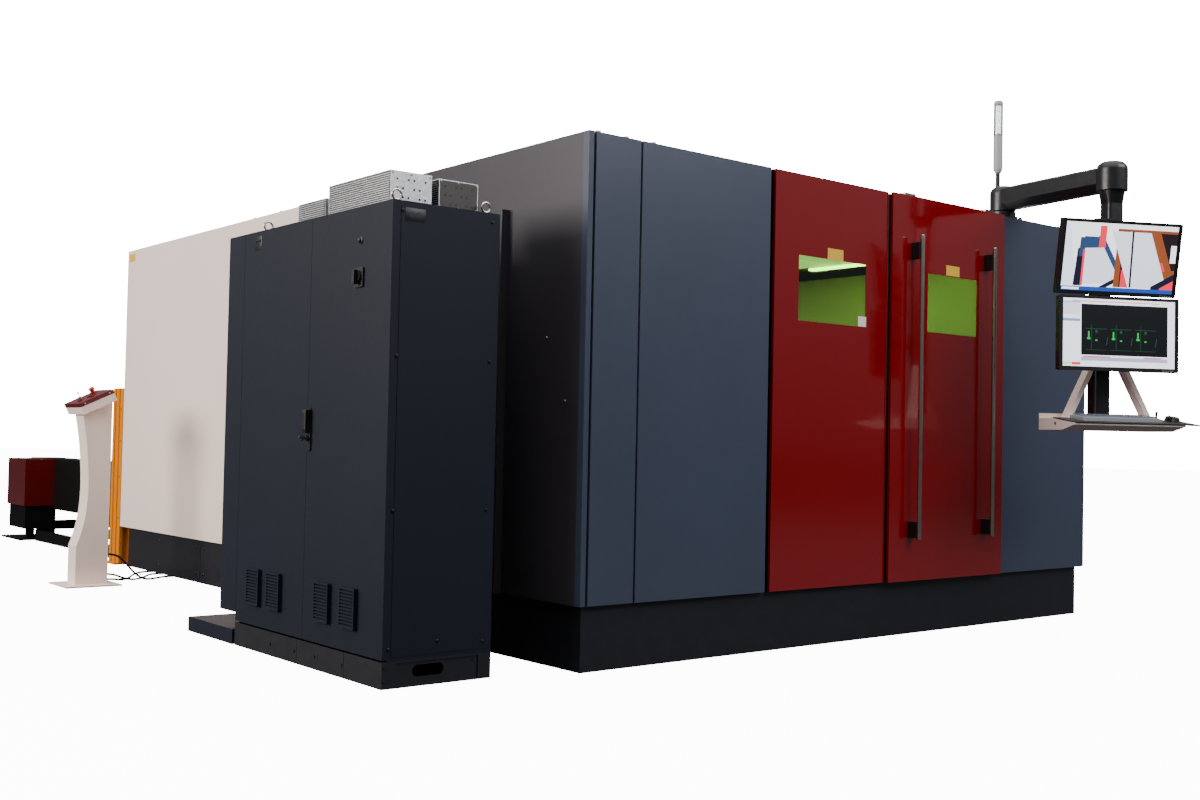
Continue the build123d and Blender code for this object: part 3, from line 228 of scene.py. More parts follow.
def build_spangle():
    """Grey facets of different brightness, as on hot-dipped zinc sheet."""
    tree, ins, outs = new_group("spangle", (
        ("Scale", "Float", CRYSTALS_PER_M), ("Light", "Color", (0.72, 0.73, 0.75, 1)),
        ("Deep", "Color", (0.50, 0.51, 0.53, 1))), (("Color", "Color"), ("Roughness", "Float")))
    where = node(tree, "ShaderNodeTexCoord").outputs["Object"]
    cells = node(tree, "ShaderNodeTexVoronoi")
    feed(tree, cells.inputs["Vector"], where)
    feed(tree, cells.inputs["Scale"], ins["Scale"])
    split = node(tree, "ShaderNodeSeparateColor")
    feed(tree, split.inputs[0], cells.outputs["Color"])
    feed(tree, outs["Color"], blend(tree, split.outputs[0], ins["Light"], ins["Deep"]))
    feed(tree, outs["Roughness"], sums(tree, "MULTIPLY_ADD", split.outputs[1], 0.2, 0.3))
    return tree


SPANGLE = build_spangle()
print("group", SPANGLE.name, len(SPANGLE.nodes), "nodes")

# %% [markdown]
# ## Four kinds of finish
# Everything on the machine is painted sheet, zinc, glass or something lit. A maker
# would keep four spray guns rather than twenty recipes, and so does this file: four
# functions each make a material and put it on one shelf by its name. Paint colours
# are given as they look on a screen, from 0 to 255, because that is how a colour
# card is read.

# %% Read a screen colour and start a material
FINISHES = {}


def srgb(r, g, b):
    """A screen colour from 0 to 255 as the linear colour that a shader reads."""
    def linear(v):
        v /= 255
        return v / 12.92 if v <= 0.04045 else ((v + 0.055) / 1.055) ** 2.4
    return (linear(r), linear(g), linear(b), 1)


def new_finish(name):
    """A new material on the shelf, with its node tree and its Principled shader."""
    made = bpy.data.materials.new(name)
    made.use_nodes = True
    FINISHES[name] = made
    return made.node_tree, made.node_tree.nodes["Principled BSDF"]


print("the shelf of finishes is empty")

# %% Paint and zinc
LACQUER_ROUGH = 0.05


def paint(name, colour, rough=0.4, metal=0.0, lacquer=0.0, clouds=0.12, smears=0.12, grain=420.0,
          peel=0.25, dust=0.0, shine=0.5):
    """A painted, moulded or metal surface that wears the coat."""
    tree, shader = new_finish(name)
    coat = node(tree, "ShaderNodeGroup", node_tree=COAT)
    for label, value in (("Color", srgb(*colour)), ("Clouds", clouds), ("Roughness", rough - smears / 2),
                         ("Smears", smears), ("Peel Scale", grain), ("Peel", peel), ("Dust", dust)):
        coat.inputs[label].default_value = value
    feed(tree, shader.inputs["Base Color"], coat.outputs["Color"])
    feed(tree, shader.inputs["Roughness"], coat.outputs["Roughness"])
    feed(tree, shader.inputs["Normal"], coat.outputs["Normal"])
    shader.inputs["Metallic"].default_value = metal
    shader.inputs["Specular IOR Level"].default_value = shine
    shader.inputs["Coat Weight"].default_value = lacquer
    shader.inputs["Coat Roughness"].default_value = LACQUER_ROUGH


def zinc(name):
    """Bare zinc sheet with its crystals."""
    tree, shader = new_finish(name)
    spangle = node(tree, "ShaderNodeGroup", node_tree=SPANGLE)
    feed(tree, shader.inputs["Base Color"], spangle.outputs["Color"])
    feed(tree, shader.inputs["Roughness"], spangle.outputs["Roughness"])
    shader.inputs["Metallic"].default_value = 1.0


print("paint and zinc ready")

# %% Glass and lit surfaces
GLASS_IOR = 1.45


def clear(name, colour, rough):
    """Tinted glass or clear plastic."""
    tree, shader = new_finish(name)
    shader.inputs["Base Color"].default_value = colour
    shader.inputs["Roughness"].default_value = rough
    shader.inputs["Transmission Weight"].default_value = 1.0
    shader.inputs["IOR"].default_value = GLASS_IOR


def glow(name, colour, strength):
    """A lit surface."""
    tree, shader = new_finish(name)
    shader.inputs["Base Color"].default_value = colour
    shader.inputs["Emission Color"].default_value = colour
    shader.inputs["Emission Strength"].default_value = strength


print("glass and glow ready")

# %% [markdown]
# ## Coats on the cabin and the cabinet
# The cabin wears satin slate grey at the front and warm white behind, and its doors
# are sprayed red under a clear lacquer, so they mirror the hall while the grey only
# glimmers. A darker colour could stand in for the duller panels, but a real coat
# differs in shine as much as in colour, so each gets both. The coats near the floor
# take a little dust.

# %% Coats of the cabin
paint("panel_grey", (62, 69, 87), 0.34, clouds=0.10, dust=0.02)
paint("panel_dark", (54, 50, 56), 0.42, clouds=0.12, dust=0.04)
paint("panel_white", (248, 228, 218), 0.45, clouds=0.03, dust=0.04)
paint("gloss_red", (128, 0, 9), 0.13, lacquer=1.0, clouds=0.05, smears=0.04, peel=0.04)
paint("base_dark", (22, 23, 31), 0.42, dust=0.03)
print("finishes on the shelf", len(FINISHES))

# %% Coats of the cabinet, the bed, the changer and the console
paint("cabinet_blue", (27, 30, 42), 0.5, clouds=0.08, shine=0.18)
paint("black_paint", (20, 21, 25), 0.34)
paint("machine_grey", (120, 124, 128), 0.5, dust=0.4)
paint("frame_black", (11, 9, 9), 0.6, shine=0.12)
# A darker copy of the door red: painted shade for the drive's cover at the far end.
paint("shaded_red_paint", (84, 6, 8), 0.2, lacquer=0.6, clouds=0.06, peel=0.05)
paint("dark_red", (92, 12, 20), 0.38)
paint("safety_yellow", (216, 126, 0), 0.5, clouds=0.08, shine=0.12)
print("finishes on the shelf", len(FINISHES))

# %% [markdown]
# ## Plastics, bare metal and glass
# Moulded plastic has a finer, deeper grain than powder coat, and turned steel a
# finer one still. New node trees could be built for them, but the coat already has
# a scale and a depth for its peel, so other values turn it into these. The windows
# are green laser glass, which holds the beam's scattered light back.

# %% Plastics and rubber
FINE_GRAIN = 1500.0
paint("black_plastic", (18, 18, 20), 0.4, grain=FINE_GRAIN, peel=0.35)
paint("grey_plastic", (160, 162, 164), 0.45, grain=FINE_GRAIN)
paint("key_plastic", (112, 118, 130), 0.16, lacquer=0.6, grain=FINE_GRAIN, peel=0.05)
paint("device_plastic", (170, 172, 168), 0.5)
paint("label_yellow", (236, 188, 60), 0.4, grain=1200.0, peel=0.1)
paint("stop_red", (178, 18, 18), 0.25, lacquer=0.4, grain=1200.0, peel=0.1)
paint("black_rubber", (13, 13, 14), 0.6, grain=900.0)
print("finishes on the shelf", len(FINISHES))

# %% Metal, glass and lamps
paint("steel", (200, 192, 182), 0.22, metal=1.0, clouds=0.08, peel=0.1, grain=900.0)
# A darker zinc for painted shade: between the ribs and on a box's end face.
paint("zinc_shade", (74, 72, 70), 0.4, metal=0.6, grain=900.0)
zinc("galvanised")
clear("green_glass", (0.17, 0.42, 0.07, 1), 0.02)
clear("clear_lens", (0.95, 0.96, 0.98, 1), 0.10)
glow("work_light", (0.86, 1.0, 0.42, 1), 16.0)
glow("tower_light", (0.95, 0.97, 1.0, 1), 1.6)
print("finishes on the shelf", len(FINISHES))

# %% [markdown]
# ## Paint the solids
# The record that came with the frame names a finish for every solid, so a loop can
# paint them all. Picking finishes by hand would be slower, and a solid could be
# forgotten. Only the drive's cover at the far end differs: it gets a duller red of
# its own, which is painted shade, since it stands in the shade of the hall.

# %% Paint every solid with the finish that its record names
# The drive's cover takes the darker red that paints the shade it stands in.
OTHER_FINISH = {"drive_cover": "shaded_red_paint"}
for part in frame["record"]["subparts"]:
    skin = frame["nodes"][part["node"]].data.materials
    skin.clear()
    skin.append(FINISHES[OTHER_FINISH.get(part["node"], part["material_slot"])])
print("painted", len(frame["nodes"]))

# %% [markdown]
# ## The three cords
# Three round cords leave the console's stand, drop to the floor and run loosely to
# the cabin's base. A tube mesh would have to be bent ring by ring. A spline through
# a few chosen points is easier to adjust, and it keeps one thickness all the way.

# %% Routes of the cords
CORD_R = 7
LIE = CORD_R + 0.2
CORD_ROUTES = (
    ((-506, 4190, 190), (-446, 4190, 190), (-382, 4204, 140), (-310, 4230, 62), (-225, 4270, LIE),
     (-110, 4340, LIE), (-40, 4400, LIE), (28, 4400, LIE)),
    ((-506, 4240, 60), (-446, 4240, 60), (-370, 4258, 28), (-290, 4300, LIE), (-190, 4390, LIE),
     (-110, 4520, LIE), (-50, 4600, LIE), (28, 4600, LIE)),
    ((-506, 4285, 22), (-440, 4285, 22), (-350, 4330, LIE), (-270, 4420, LIE), (-200, 4560, LIE),
     (-120, 4700, LIE), (-40, 4760, LIE), (28, 4760, LIE)))
print("cords", len(CORD_ROUTES), "points each", len(CORD_ROUTES[0]))

# %% Cords from the console to the cabin
for number, route in enumerate(CORD_ROUTES, 1):
    data = bpy.data.curves.new(f"cord_{number}", "CURVE")
    data.dimensions = "3D"
    data.bevel_depth = CORD_R / 1000
    data.bevel_resolution = 5
    data.resolution_u = 16
    data.render_resolution_u = 16
    line = data.splines.new("NURBS")
    line.points.add(len(route) - 1)
    for spot, place in zip(line.points, route):
        spot.co = (*at(*place), 1)
    line.order_u = 3
    line.use_endpoint_u = True
    data.materials.append(FINISHES["black_rubber"])
    cord = bpy.data.objects.new(f"cord_{number}", data)
    bpy.context.collection.objects.link(cord)
    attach(cord, "machine")
    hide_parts("floor_cords")
    print(cord.name, round(line.calc_length(), 3), "m long")

# %% [markdown]
# ## Building small pieces
# Screws, plates and lamps are blocks and rods set on a surface. They could be made
# at the origin and moved as objects, but a finished piece keeps its place in its
# mesh. So each block or rod is made straight away in a local frame whose third axis
# points out of the surface, and one mesh holds all the like pieces of a body.

# %% Local frames
def facing(place, out, up=UP):
    """A local frame at a place: its third axis points out, its second up."""
    z = Vector(out).normalized()
    x = Vector(up).cross(z).normalized()
    return Matrix.Translation(place) @ Matrix((x, z.cross(x), z)).transposed().to_4x4()


def standing(place):
    """A local frame for what stands on a level surface."""
    return facing(place, UP, up=BACK)


def hanging(place):
    """A local frame for what hangs below a level surface."""
    return facing(place, DOWN, up=BACK)


def move(x=0.0, y=0.0, z=0.0):
    """A shift in millimetres."""
    return Matrix.Translation(Vector((x, y, z)) / 1000)


print("a frame on the cabin's front:", [round(c, 3) for c in facing(at(0, 0), FRONT).col[2]])

# %% Blocks, rods and screws
FLANGE_HIGH, COLLAR_TOP = 0.6, 0.72
HEX_ROOT, HEX_HIGH, HEX_WIDE, HEX_TOP = 0.98, 0.5, 0.42, 0.35


def add_block(bm, where, size, soft=0.0):
    """A block that stands on its local plane, with soft edges where a bevel is given."""
    shape = where @ move(z=size[2] / 2) @ Matrix.Diagonal((*size, 1))
    corners = bmesh.ops.create_cube(bm, size=0.001, matrix=shape)["verts"]
    if soft:
        rims = list(dict.fromkeys(e for v in corners for e in v.link_edges))
        bmesh.ops.bevel(bm, geom=rims, offset=soft / 1000, affect="EDGES", segments=2, profile=0.5,
                        material=-1)
    return corners


def add_rod(bm, where, radius, high, top=None, sides=24):
    """A rod or cone that stands on its local plane."""
    bmesh.ops.create_cone(bm, cap_ends=True, segments=sides, radius1=radius / 1000,
                          radius2=(radius if top is None else top) / 1000, depth=high / 1000,
                          matrix=where @ move(z=high / 2))


def add_screw(bm, where, radius, high):
    """A screw head: a round flange, a sloping collar and a low hexagon on top."""
    flange = high * FLANGE_HIGH
    add_rod(bm, where, radius, flange, sides=20)
    add_rod(bm, where @ move(z=flange), radius, high - flange, top=radius * COLLAR_TOP, sides=20)
    add_rod(bm, where @ move(z=high * HEX_ROOT), radius * HEX_WIDE, high * HEX_HIGH,
            top=radius * HEX_TOP, sides=6)


print("block, rod and screw ready")

# %% Turn a mesh into a piece
SHARP_FROM = math.radians(35)


def piece(name, bm, finish, body):
    """Make the bmesh an object that rides on a body and takes a slot."""
    bmesh.ops.recalc_face_normals(bm, faces=bm.faces)
    mesh = bpy.data.meshes.new(name)
    bm.to_mesh(mesh)
    bm.free()
    mesh.shade_smooth()
    mesh.set_sharp_from_angle(angle=SHARP_FROM)
    mesh.materials.append(FINISHES[finish])
    made = bpy.data.objects.new(name, mesh)
    bpy.context.collection.objects.link(made)
    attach(made, body)
    print(name, len(mesh.polygons), "faces")


def plate(name, finish, body, where, size, soft=0.0):
    """A piece that is a single block."""
    bm = bmesh.new()
    add_block(bm, where, size, soft)
    piece(name, bm, finish, body)


print("helpers for pieces ready")

# %% [markdown]
# ## Screws on the panels
# Folded panels are held by screws from outside, and each head catches the light as
# a small dot. A bump in the paint would give the dot, but no edge against the
# light, so the heads are real. There are two on the cabin's dark side, eight along
# the base, nine on the cabinet's end and four on the yellow column further down.

# %% Screws on the cabin's side and base
BASE_X, BASE_SEAM = 28, 3977
SIDE_SCREWS = ((267, 1416), (129, 1141))
bm = bmesh.new()
for y, z in SIDE_SCREWS:
    add_screw(bm, facing(at(0, y, z), LEFT), 7, 4)
piece("side_screws", bm, "steel", "machine")
bm = bmesh.new()
for y in (BASE_SEAM - 60, BASE_SEAM + 60, BASE_SEAM + 700, BASE_SEAM - 1500):
    for z in (60, 225):
        add_screw(bm, facing(at(BASE_X, y, z), LEFT), 8, 5)
piece("base_screws", bm, "black_paint", "machine")

# %% Screws on the cabinet's end
CABINET_END = 154
END_SCREWS = ((-812, 688), (-376, 684), (-812, 1290), (-376, 1290), (-819, 153), (-597, 170),
              (-381, 152), (-800, 1862), (-376, 1862))
bm = bmesh.new()
for x, z in END_SCREWS:
    add_screw(bm, facing(at(x, CABINET_END, z), FRONT), 7, 4)
piece("cabinet_screws", bm, "black_paint", "machine")

# %% [markdown]
# ## Black plates on the cabinet, and painted shade in its plinth
# Near the cabinet's top edge a bare black plate with two flat studs sits on the end
# panel, and another with two screws on the far door. A thin dark sheet lies on the
# floor inside the cabinet's plinth: it is painted shade, because the floor shows
# white to the camera even where the plinth shades it. The plates could be painted
# on, but their edges show against the panel, so they are thin blocks with a small
# bevel.

# %% Plates on the cabinet
PLATE_THICK, PLATE_SOFT = 0.8, 0.3
bm = bmesh.new()
for x in (-760, -728):
    add_rod(bm, facing(at(x, CABINET_END, 1850), FRONT), 11, 1.2)
add_block(bm, facing(at(-744, CABINET_END, 1848), FRONT), (92, 52, PLATE_THICK), PLATE_SOFT)
piece("end_name_plate_blank", bm, "black_plastic", "machine")
LEAF_FACE = -846
bm = bmesh.new()
add_block(bm, facing(at(LEAF_FACE, 1348, 1846), LEFT), (70, 64, PLATE_THICK), PLATE_SOFT)
for y in (1332, 1364):
    add_screw(bm, facing(at(LEAF_FACE - PLATE_THICK, y, 1856), LEFT), 7, 4)
piece("leaf_lift_plate", bm, "black_plastic", "far_leaf")

# %% A dark sheet in the plinth, painted shade under the cabinet
PLINTH_X, PLINTH_Y, SHEET_GAP, SHEET_THICK = (-840, -344), (164, 1478), 0.3, 1.7
middle = at(sum(PLINTH_X) / 2, sum(PLINTH_Y) / 2, SHEET_GAP)
# A dark sheet just above the floor: painted shade under the cabinet.
plate("plinth_shade_sheet", "base_dark", "machine", standing(middle),
      (PLINTH_X[1] - PLINTH_X[0], PLINTH_Y[1] - PLINTH_Y[0], SHEET_THICK))

# %% [markdown]
# ## Bare plates on the doors and the wall, and the door's seal
# A small yellow plate sits above each window and one at the wall's far corner, and a
# white one in the corner of the left window. All stay bare. A black rubber seal
# stands upright behind the gap between the fixed panel and the sliding door. It is
# hidden but for a dark line, so its black is painted shade in the gap: without it,
# light from inside would shine through.

# %% Plates and the seal
plate("left_plate", "label_yellow", "machine", facing(at(1571, 0, 1915), FRONT),
      (116, 57, PLATE_THICK))
plate("door_plate", "label_yellow", "door", facing(at(2499, -20, 1921), FRONT),
      (116, 54, PLATE_THICK))
plate("window_plate", "panel_white", "machine", facing(at(1780, 0.5, 1600), FRONT), (60, 50, 1.0))
plate("wall_plate", "label_yellow", "machine", facing(at(0, 5275, 2226), LEFT),
      (110, 55, PLATE_THICK))
# The seal's black strip paints the shade in the gap between panel and door.
plate("door_seal_gap_shade", "black_rubber", "machine", facing(at(1992, 37, 1281), FRONT), (32, 1990, 34), soft=3)

# %% [markdown]
# ## The pendant's own frame
# The pendant hangs from the arm's end, turned by 27.3 degrees. Its pieces could be
# built straight and turned as a group, but then their places couldn't be compared
# with the solids. So they are placed from the post's axis: u runs to the operator's
# right, v away from the operator, and z up.

# %% Place points on the pendant
PENDANT_TURN = math.radians(27.3)
ARM_END = (3035, -628)
U = Vector((math.cos(PENDANT_TURN), -math.sin(PENDANT_TURN), 0))
V = Vector((math.sin(PENDANT_TURN), math.cos(PENDANT_TURN), 0))


def pen(u, v, z):
    """A point on the pendant, in millimetres."""
    return at(*ARM_END, z) + (U * u + V * v) / 1000


print("pendant axis at", [round(c, 3) for c in pen(0, 0, 0)])

# %% The frames of the two screens
SCREEN_U, SCREEN_OUT, SCREEN_RISE, PICTURE_SUNK = -72, 191, 2, 1.9
TOP_Z, LOW_Z, TOP_LEAN = 1960, 1573, math.radians(10)


def screen_frame(z, lean):
    """The frame of a screen's dished face: right, up, out to the operator."""
    out = -V * math.cos(lean) - Vector((0, 0, math.sin(lean)))
    up = -V * math.sin(lean) + Vector((0, 0, math.cos(lean)))
    axes = Matrix((U, up, out)).transposed().to_4x4()
    return (Matrix.Translation(pen(0, -SCREEN_OUT, z)) @ axes
            @ move(SCREEN_U, SCREEN_RISE, -PICTURE_SUNK))


print("top screen leans", round(math.degrees(TOP_LEAN)), "degrees, the low one stands upright")

# %% [markdown]
# ## Pictures on the screens
# The two screens show work in progress: two camera views of the cutting table, and
# a plan of parts. A picture file could be stretched over each, but this scene keeps
# to what it can make itself. So each picture is laid from slanted rectangles of
# plain colour, without words. One node group lays one rectangle over what is below.

# %% The group that lays a slanted rectangle over a picture
EDGES = ("Left", "Right", "Bottom", "Top", "Lean", "Tilt")


def build_patch():
    """A rectangle in UV space; lean slants its sides and tilt its top and bottom."""
    ins = [("Under", "Color", (0, 0, 0, 1)), ("Over", "Color", (1, 1, 1, 1))]
    ins += [(label, "Float", 0.0) for label in EDGES]
    tree, ins, outs = new_group("patch", ins, (("Color", "Color"),))
    split = node(tree, "ShaderNodeSeparateXYZ")
    feed(tree, split.inputs[0], node(tree, "ShaderNodeTexCoord").outputs["UV"])
    x = sums(tree, "MULTIPLY_ADD", split.outputs["Y"], ins["Lean"], split.outputs["X"])
    y = sums(tree, "MULTIPLY_ADD", split.outputs["X"], ins["Tilt"], split.outputs["Y"])
    mask = sums(tree, "GREATER_THAN", x, ins["Left"])
    for operation, value, limit in (("LESS_THAN", x, "Right"), ("GREATER_THAN", y, "Bottom"),
                                    ("LESS_THAN", y, "Top")):
        mask = sums(tree, "MULTIPLY", mask, sums(tree, operation, value, ins[limit]))
    feed(tree, outs["Color"], blend(tree, mask, ins["Under"], ins["Over"]))
    return tree


PATCH = build_patch()
print("group", PATCH.name, len(PATCH.nodes), "nodes")

# %% Lay the patches of a picture
SCREEN_GLOW, SCREEN_ROUGH = 1.7, 0.3


def picture(name, back, patches):
    """A lit screen made of patches, each a colour, its four edges, and lean and tilt if any."""
    tree, shader = new_finish(name)
    colour = back
    for over, *edges in patches:
        group = node(tree, "ShaderNodeGroup", node_tree=PATCH)
        feed(tree, group.inputs["Under"], colour)
        group.inputs["Over"].default_value = over
        for label, value in zip(EDGES, edges):
            group.inputs[label].default_value = value
        colour = group.outputs["Color"]
    feed(tree, shader.inputs["Base Color"], colour)
    feed(tree, shader.inputs["Emission Color"], colour)
    shader.inputs["Emission Strength"].default_value = SCREEN_GLOW
    shader.inputs["Roughness"].default_value = SCREEN_ROUGH


print("helper for pictures ready")

# %% [markdown]
# ## The two camera views
# The top screen shows the table's left and right side by side, with a blue bar below.
# Each row of the list is one patch, from the back to the front: its colour, then its
# left, right, bottom and top edge as shares of the screen, then its lean and tilt.
# An edge far outside the screen leaves only the tilted side to cut the patch off.

# %% Colours of the camera views
WALL, SHEET, NAVY = srgb(236, 238, 248), srgb(206, 208, 222), srgb(38, 58, 92)
RED, RUST, NIGHT = srgb(214, 40, 62), srgb(120, 62, 34), srgb(18, 22, 40)
SKY, STEEL_BLUE, SOOT = srgb(214, 222, 236), srgb(96, 110, 136), srgb(28, 18, 24)
BAR_BLUE = srgb(28, 62, 140)
OUTSIDE, SIDE_LEAN, SHEET_LEAN, SHEET_TILT = -9.0, 0.229, 0.355, 0.18
print("colours for the views ready")

# %% The left and the right view
LEFT_VIEW = (
    (SKY, 0.00, 0.13, 0.07, 0.97, 0.10),
    (NIGHT, 0.10, 0.175, 0.07, 0.62, -0.03),
    (NAVY, 0.12, 0.20, 0.50, 0.78, -0.02),
    (NAVY, 0.17, 0.40, 0.62, 0.80, 0.0, 0.02),
    (SHEET, 0.18, 0.47, 0.07, 0.60, 0.0, -0.12),
    (NAVY, 0.575, 0.625, 0.40, 0.86, SHEET_LEAN, SHEET_TILT),
    (WALL, 0.625, 0.80, 0.34, 1.06, SHEET_LEAN, SHEET_TILT),
    (RED, 0.165, 0.185, 0.07, 0.60),
    (RED, 0.30, 0.36, 0.64, 0.96),
    (NIGHT, 0.30, 0.47, OUTSIDE, -0.27, 0.0, -1.0),
    (WALL, 0.38, 0.47, OUTSIDE, -0.34, 0.0, -1.0))
RIGHT_VIEW = (
    (RUST, 0.46, 1.00, 0.07, 0.93),
    (SOOT, 0.51, 0.60, 0.07, 0.90),
    (STEEL_BLUE, 0.565, 0.585, 0.30, 0.90),
    (RED, 0.52, 0.59, 0.07, 0.33),
    (SHEET, 0.605, 0.962, 0.07, 0.89),
    (SHEET, 0.61, 0.962, 0.07, 0.89, SIDE_LEAN),
    (RUST, 0.962, 1.10, 0.07, 0.89, SIDE_LEAN),
    (SOOT, 1.05, 1.30, 0.35, 0.89, SIDE_LEAN),
    (NIGHT, 0.605, 0.622, 0.07, 0.90, 0.02),
    (WALL, 0.95, 1.00, 0.46, 0.72),
    (RED, 0.965, 0.99, 0.33, 0.46, SIDE_LEAN),
    (NIGHT, 0.80, 1.00, OUTSIDE, -0.70, 0.0, -1.0),
    (RED, 0.88, 1.00, OUTSIDE, -0.80, 0.0, -1.0))
VIEW_BARS = (
    (WALL, 0.466, 1.00, 0.93, 0.97),
    (BAR_BLUE, 0.00, 1.00, 0.00, 0.06),
    (WALL, 0.01, 0.16, 0.012, 0.045))
picture("camera_views", WALL, LEFT_VIEW + RIGHT_VIEW + VIEW_BARS)
print("patches in the views", len(LEFT_VIEW + RIGHT_VIEW + VIEW_BARS))

# %% [markdown]
# ## The plan of parts
# The low screen shows a dark plan with three like parts, between pale bars with a few
# fields. The parts differ only in where they stand, so one is described from its
# left edge and a loop sets it three times.

# %% Bars and fields round the plan
GREEN, GREY_GREEN, PALE = srgb(24, 150, 60), srgb(20, 62, 40), srgb(226, 228, 240)
BAR_STEEL, ROSE = srgb(96, 132, 186), srgb(190, 60, 80)
PLAN_BARS = (
    (srgb(198, 200, 216), 0.00, 0.15, 0.76, 0.93),
    (BAR_STEEL, 0.00, 0.15, 0.935, 0.95),
    (BAR_STEEL, 0.00, 0.15, 0.66, 0.70),
    (srgb(140, 230, 150), 0.00, 0.08, 0.02, 0.06),
    (RED, 0.08, 0.155, 0.02, 0.06),
    (srgb(196, 40, 70), 0.08, 0.86, 0.955, 0.966),
    (srgb(236, 220, 120), 0.88, 0.92, 0.945, 0.985),
    (srgb(8, 10, 13), 0.16, 0.935, 0.17, 0.92),
    (srgb(150, 154, 178), 0.16, 0.935, 0.085, 0.14),
    (ROSE, 0.18, 0.42, 0.14, 0.155),
    (ROSE, 0.72, 0.88, 0.14, 0.155))
print("bars and fields", len(PLAN_BARS))

# %% The three parts of the plan
def plan_part(left):
    """The lines and blocks of one part on the plan, from its left edge."""
    return ((GREY_GREEN, left, left + 0.19, 0.555, 0.562),
            (GREY_GREEN, left, left + 0.19, 0.245, 0.250),
            (GREY_GREEN, left + 0.05, left + 0.054, 0.25, 0.62),
            (GREEN, left + 0.020, left + 0.034, 0.40, 0.52),
            (GREEN, left + 0.012, left + 0.042, 0.40, 0.43),
            (GREY_GREEN, left + 0.085, left + 0.105, 0.50, 0.54),
            (GREEN, left + 0.085, left + 0.105, 0.38, 0.40),
            (GREY_GREEN, left + 0.15, left + 0.156, 0.32, 0.44, -0.1))


PLAN_PARTS = [patch for left in (0.20, 0.42, 0.64) for patch in plan_part(left)]
picture("parts_plan", PALE, [*PLAN_BARS, *PLAN_PARTS])
print("patches in the plan", len(PLAN_BARS) + len(PLAN_PARTS))

# %% [markdown]
# ## The lit sheets
# A screen's picture lies a little behind its rim. A new material on the solid's own
# face would need that face to be cut out of the mesh. A single flat sheet, laid just
# in front of the dished face, brings its own unwrapping, so the picture fills it
# from edge to edge.

# %% Lay a lit sheet in each screen
PICTURE_WIDE, PICTURE_HIGH = 636, 346


def screen_sheet(name, finish, where, body):
    """A flat lit sheet in a screen's dished face."""
    bm = bmesh.new()
    bm.loops.layers.uv.new("UVMap")
    bmesh.ops.create_grid(bm, x_segments=1, y_segments=1, size=0.5, calc_uvs=True)
    size = Matrix.Diagonal((PICTURE_WIDE / 1000, PICTURE_HIGH / 1000, 1, 1))
    bmesh.ops.transform(bm, matrix=where @ size, verts=bm.verts)
    piece(name, bm, finish, body)


screen_sheet("top_picture", "camera_views", screen_frame(TOP_Z, TOP_LEAN), "top_screen")
screen_sheet("low_picture", "parts_plan", screen_frame(LOW_Z, 0), "pendant")

# %% [markdown]
# ## The keyboard's keys
# The keyboard lies on the tray's deck, which slopes down to the operator by about
# seven degrees. An array modifier would repeat one key, but some keys are wider than
# others. So a loop walks along six rows, sets a block for each key and draws its top
# corners in, which gives the tapered cap that a finger feels.

# %% The sloping deck
DECK_Z, DECK_STEP, NOSE_Y, NOSE_Z = 1138, -66, -276, 1112
SLOPE = math.atan2(DECK_Z - NOSE_Z, DECK_STEP - NOSE_Y)
deck_out = -V * math.sin(SLOPE) + Vector((0, 0, math.cos(SLOPE)))
deck_up = V * math.cos(SLOPE) + Vector((0, 0, math.sin(SLOPE)))
DECK = Matrix.Translation(pen(0, DECK_STEP, DECK_Z)) @ Matrix((U, deck_up, deck_out)).transposed().to_4x4()
print("the deck slopes by", round(math.degrees(SLOPE), 1), "degrees")

# %% The keys
KEY_ROWS, KEY_COLUMNS = 6, 22
PITCH_U, PITCH_V, KEY_HIGH = 19.0, 19.5, 6
GAP_U, GAP_V, TAPER = 2, 3, 0.0022
KEYS_LEFT, KEYS_NEAR, BOARD_TOP = -269, -131, 24
# For each row with wide keys, the column where one starts and the columns it takes.
WIDE_KEYS = {0: {4: 7}, 2: {0: 2, 12: 2}, 3: {0: 2}, 4: {12: 2}}
bm = bmesh.new()
for row in range(KEY_ROWS):
    column = 0
    while column < KEY_COLUMNS:
        wide = WIDE_KEYS.get(row, {}).get(column, 1)
        place = DECK @ move(KEYS_LEFT + (column + wide / 2) * PITCH_U,
                            KEYS_NEAR + (row + 0.5) * PITCH_V, BOARD_TOP)
        for corner in add_block(bm, place, (wide * PITCH_U - GAP_U, PITCH_V - GAP_V, KEY_HIGH)):
            local = place.inverted() @ corner.co
            if local.z > KEY_HIGH / 2000:
                drawn = (TAPER * math.copysign(1, local.x), TAPER * math.copysign(1, local.y), 0)
                corner.co = place @ (local - Vector(drawn))
        column += wide
piece("keys", bm, "key_plastic", "pendant")

# %% [markdown]
# ## Fittings on the tray and the screens
# The mouse has a wheel, a small connector block with three steel rings sits beside
# the post, and a red strip marks the tray's left edge. Each screen has five buttons
# under its picture. These pieces could be modelled with their seams and screws, but
# they are a few millimetres in size, and plain rods and blocks with soft edges look
# the same.

# %% Mouse wheel
MOUSE = DECK @ move(272, -70, 0)
bm = bmesh.new()
add_rod(bm, facing((MOUSE @ move(-3, 26, 26)).translation, U, up=deck_out), 9, 6, sides=20)
piece("mouse_wheel", bm, "grey_plastic", "pendant")

# %% Connector block with its rings, and the tray's edge
CONNECTOR_U, CONNECTOR_V, RING_PITCH = -155, 18, 18
plate("connector_block", "black_plastic", "pendant",
      facing(pen(CONNECTOR_U, CONNECTOR_V, DECK_Z), UP, up=V), (62, 34, 24), soft=3)
bm = bmesh.new()
for step in (-1, 0, 1):
    add_rod(bm, facing(pen(CONNECTOR_U + step * RING_PITCH, 1, DECK_Z + 13), -V), 5, 5, sides=16)
piece("connector_rings", bm, "steel", "pendant")
plate("tray_edge_strip", "dark_red", "pendant", DECK @ move(-372, -105, 5), (6, 200, 1.2), soft=0.4)

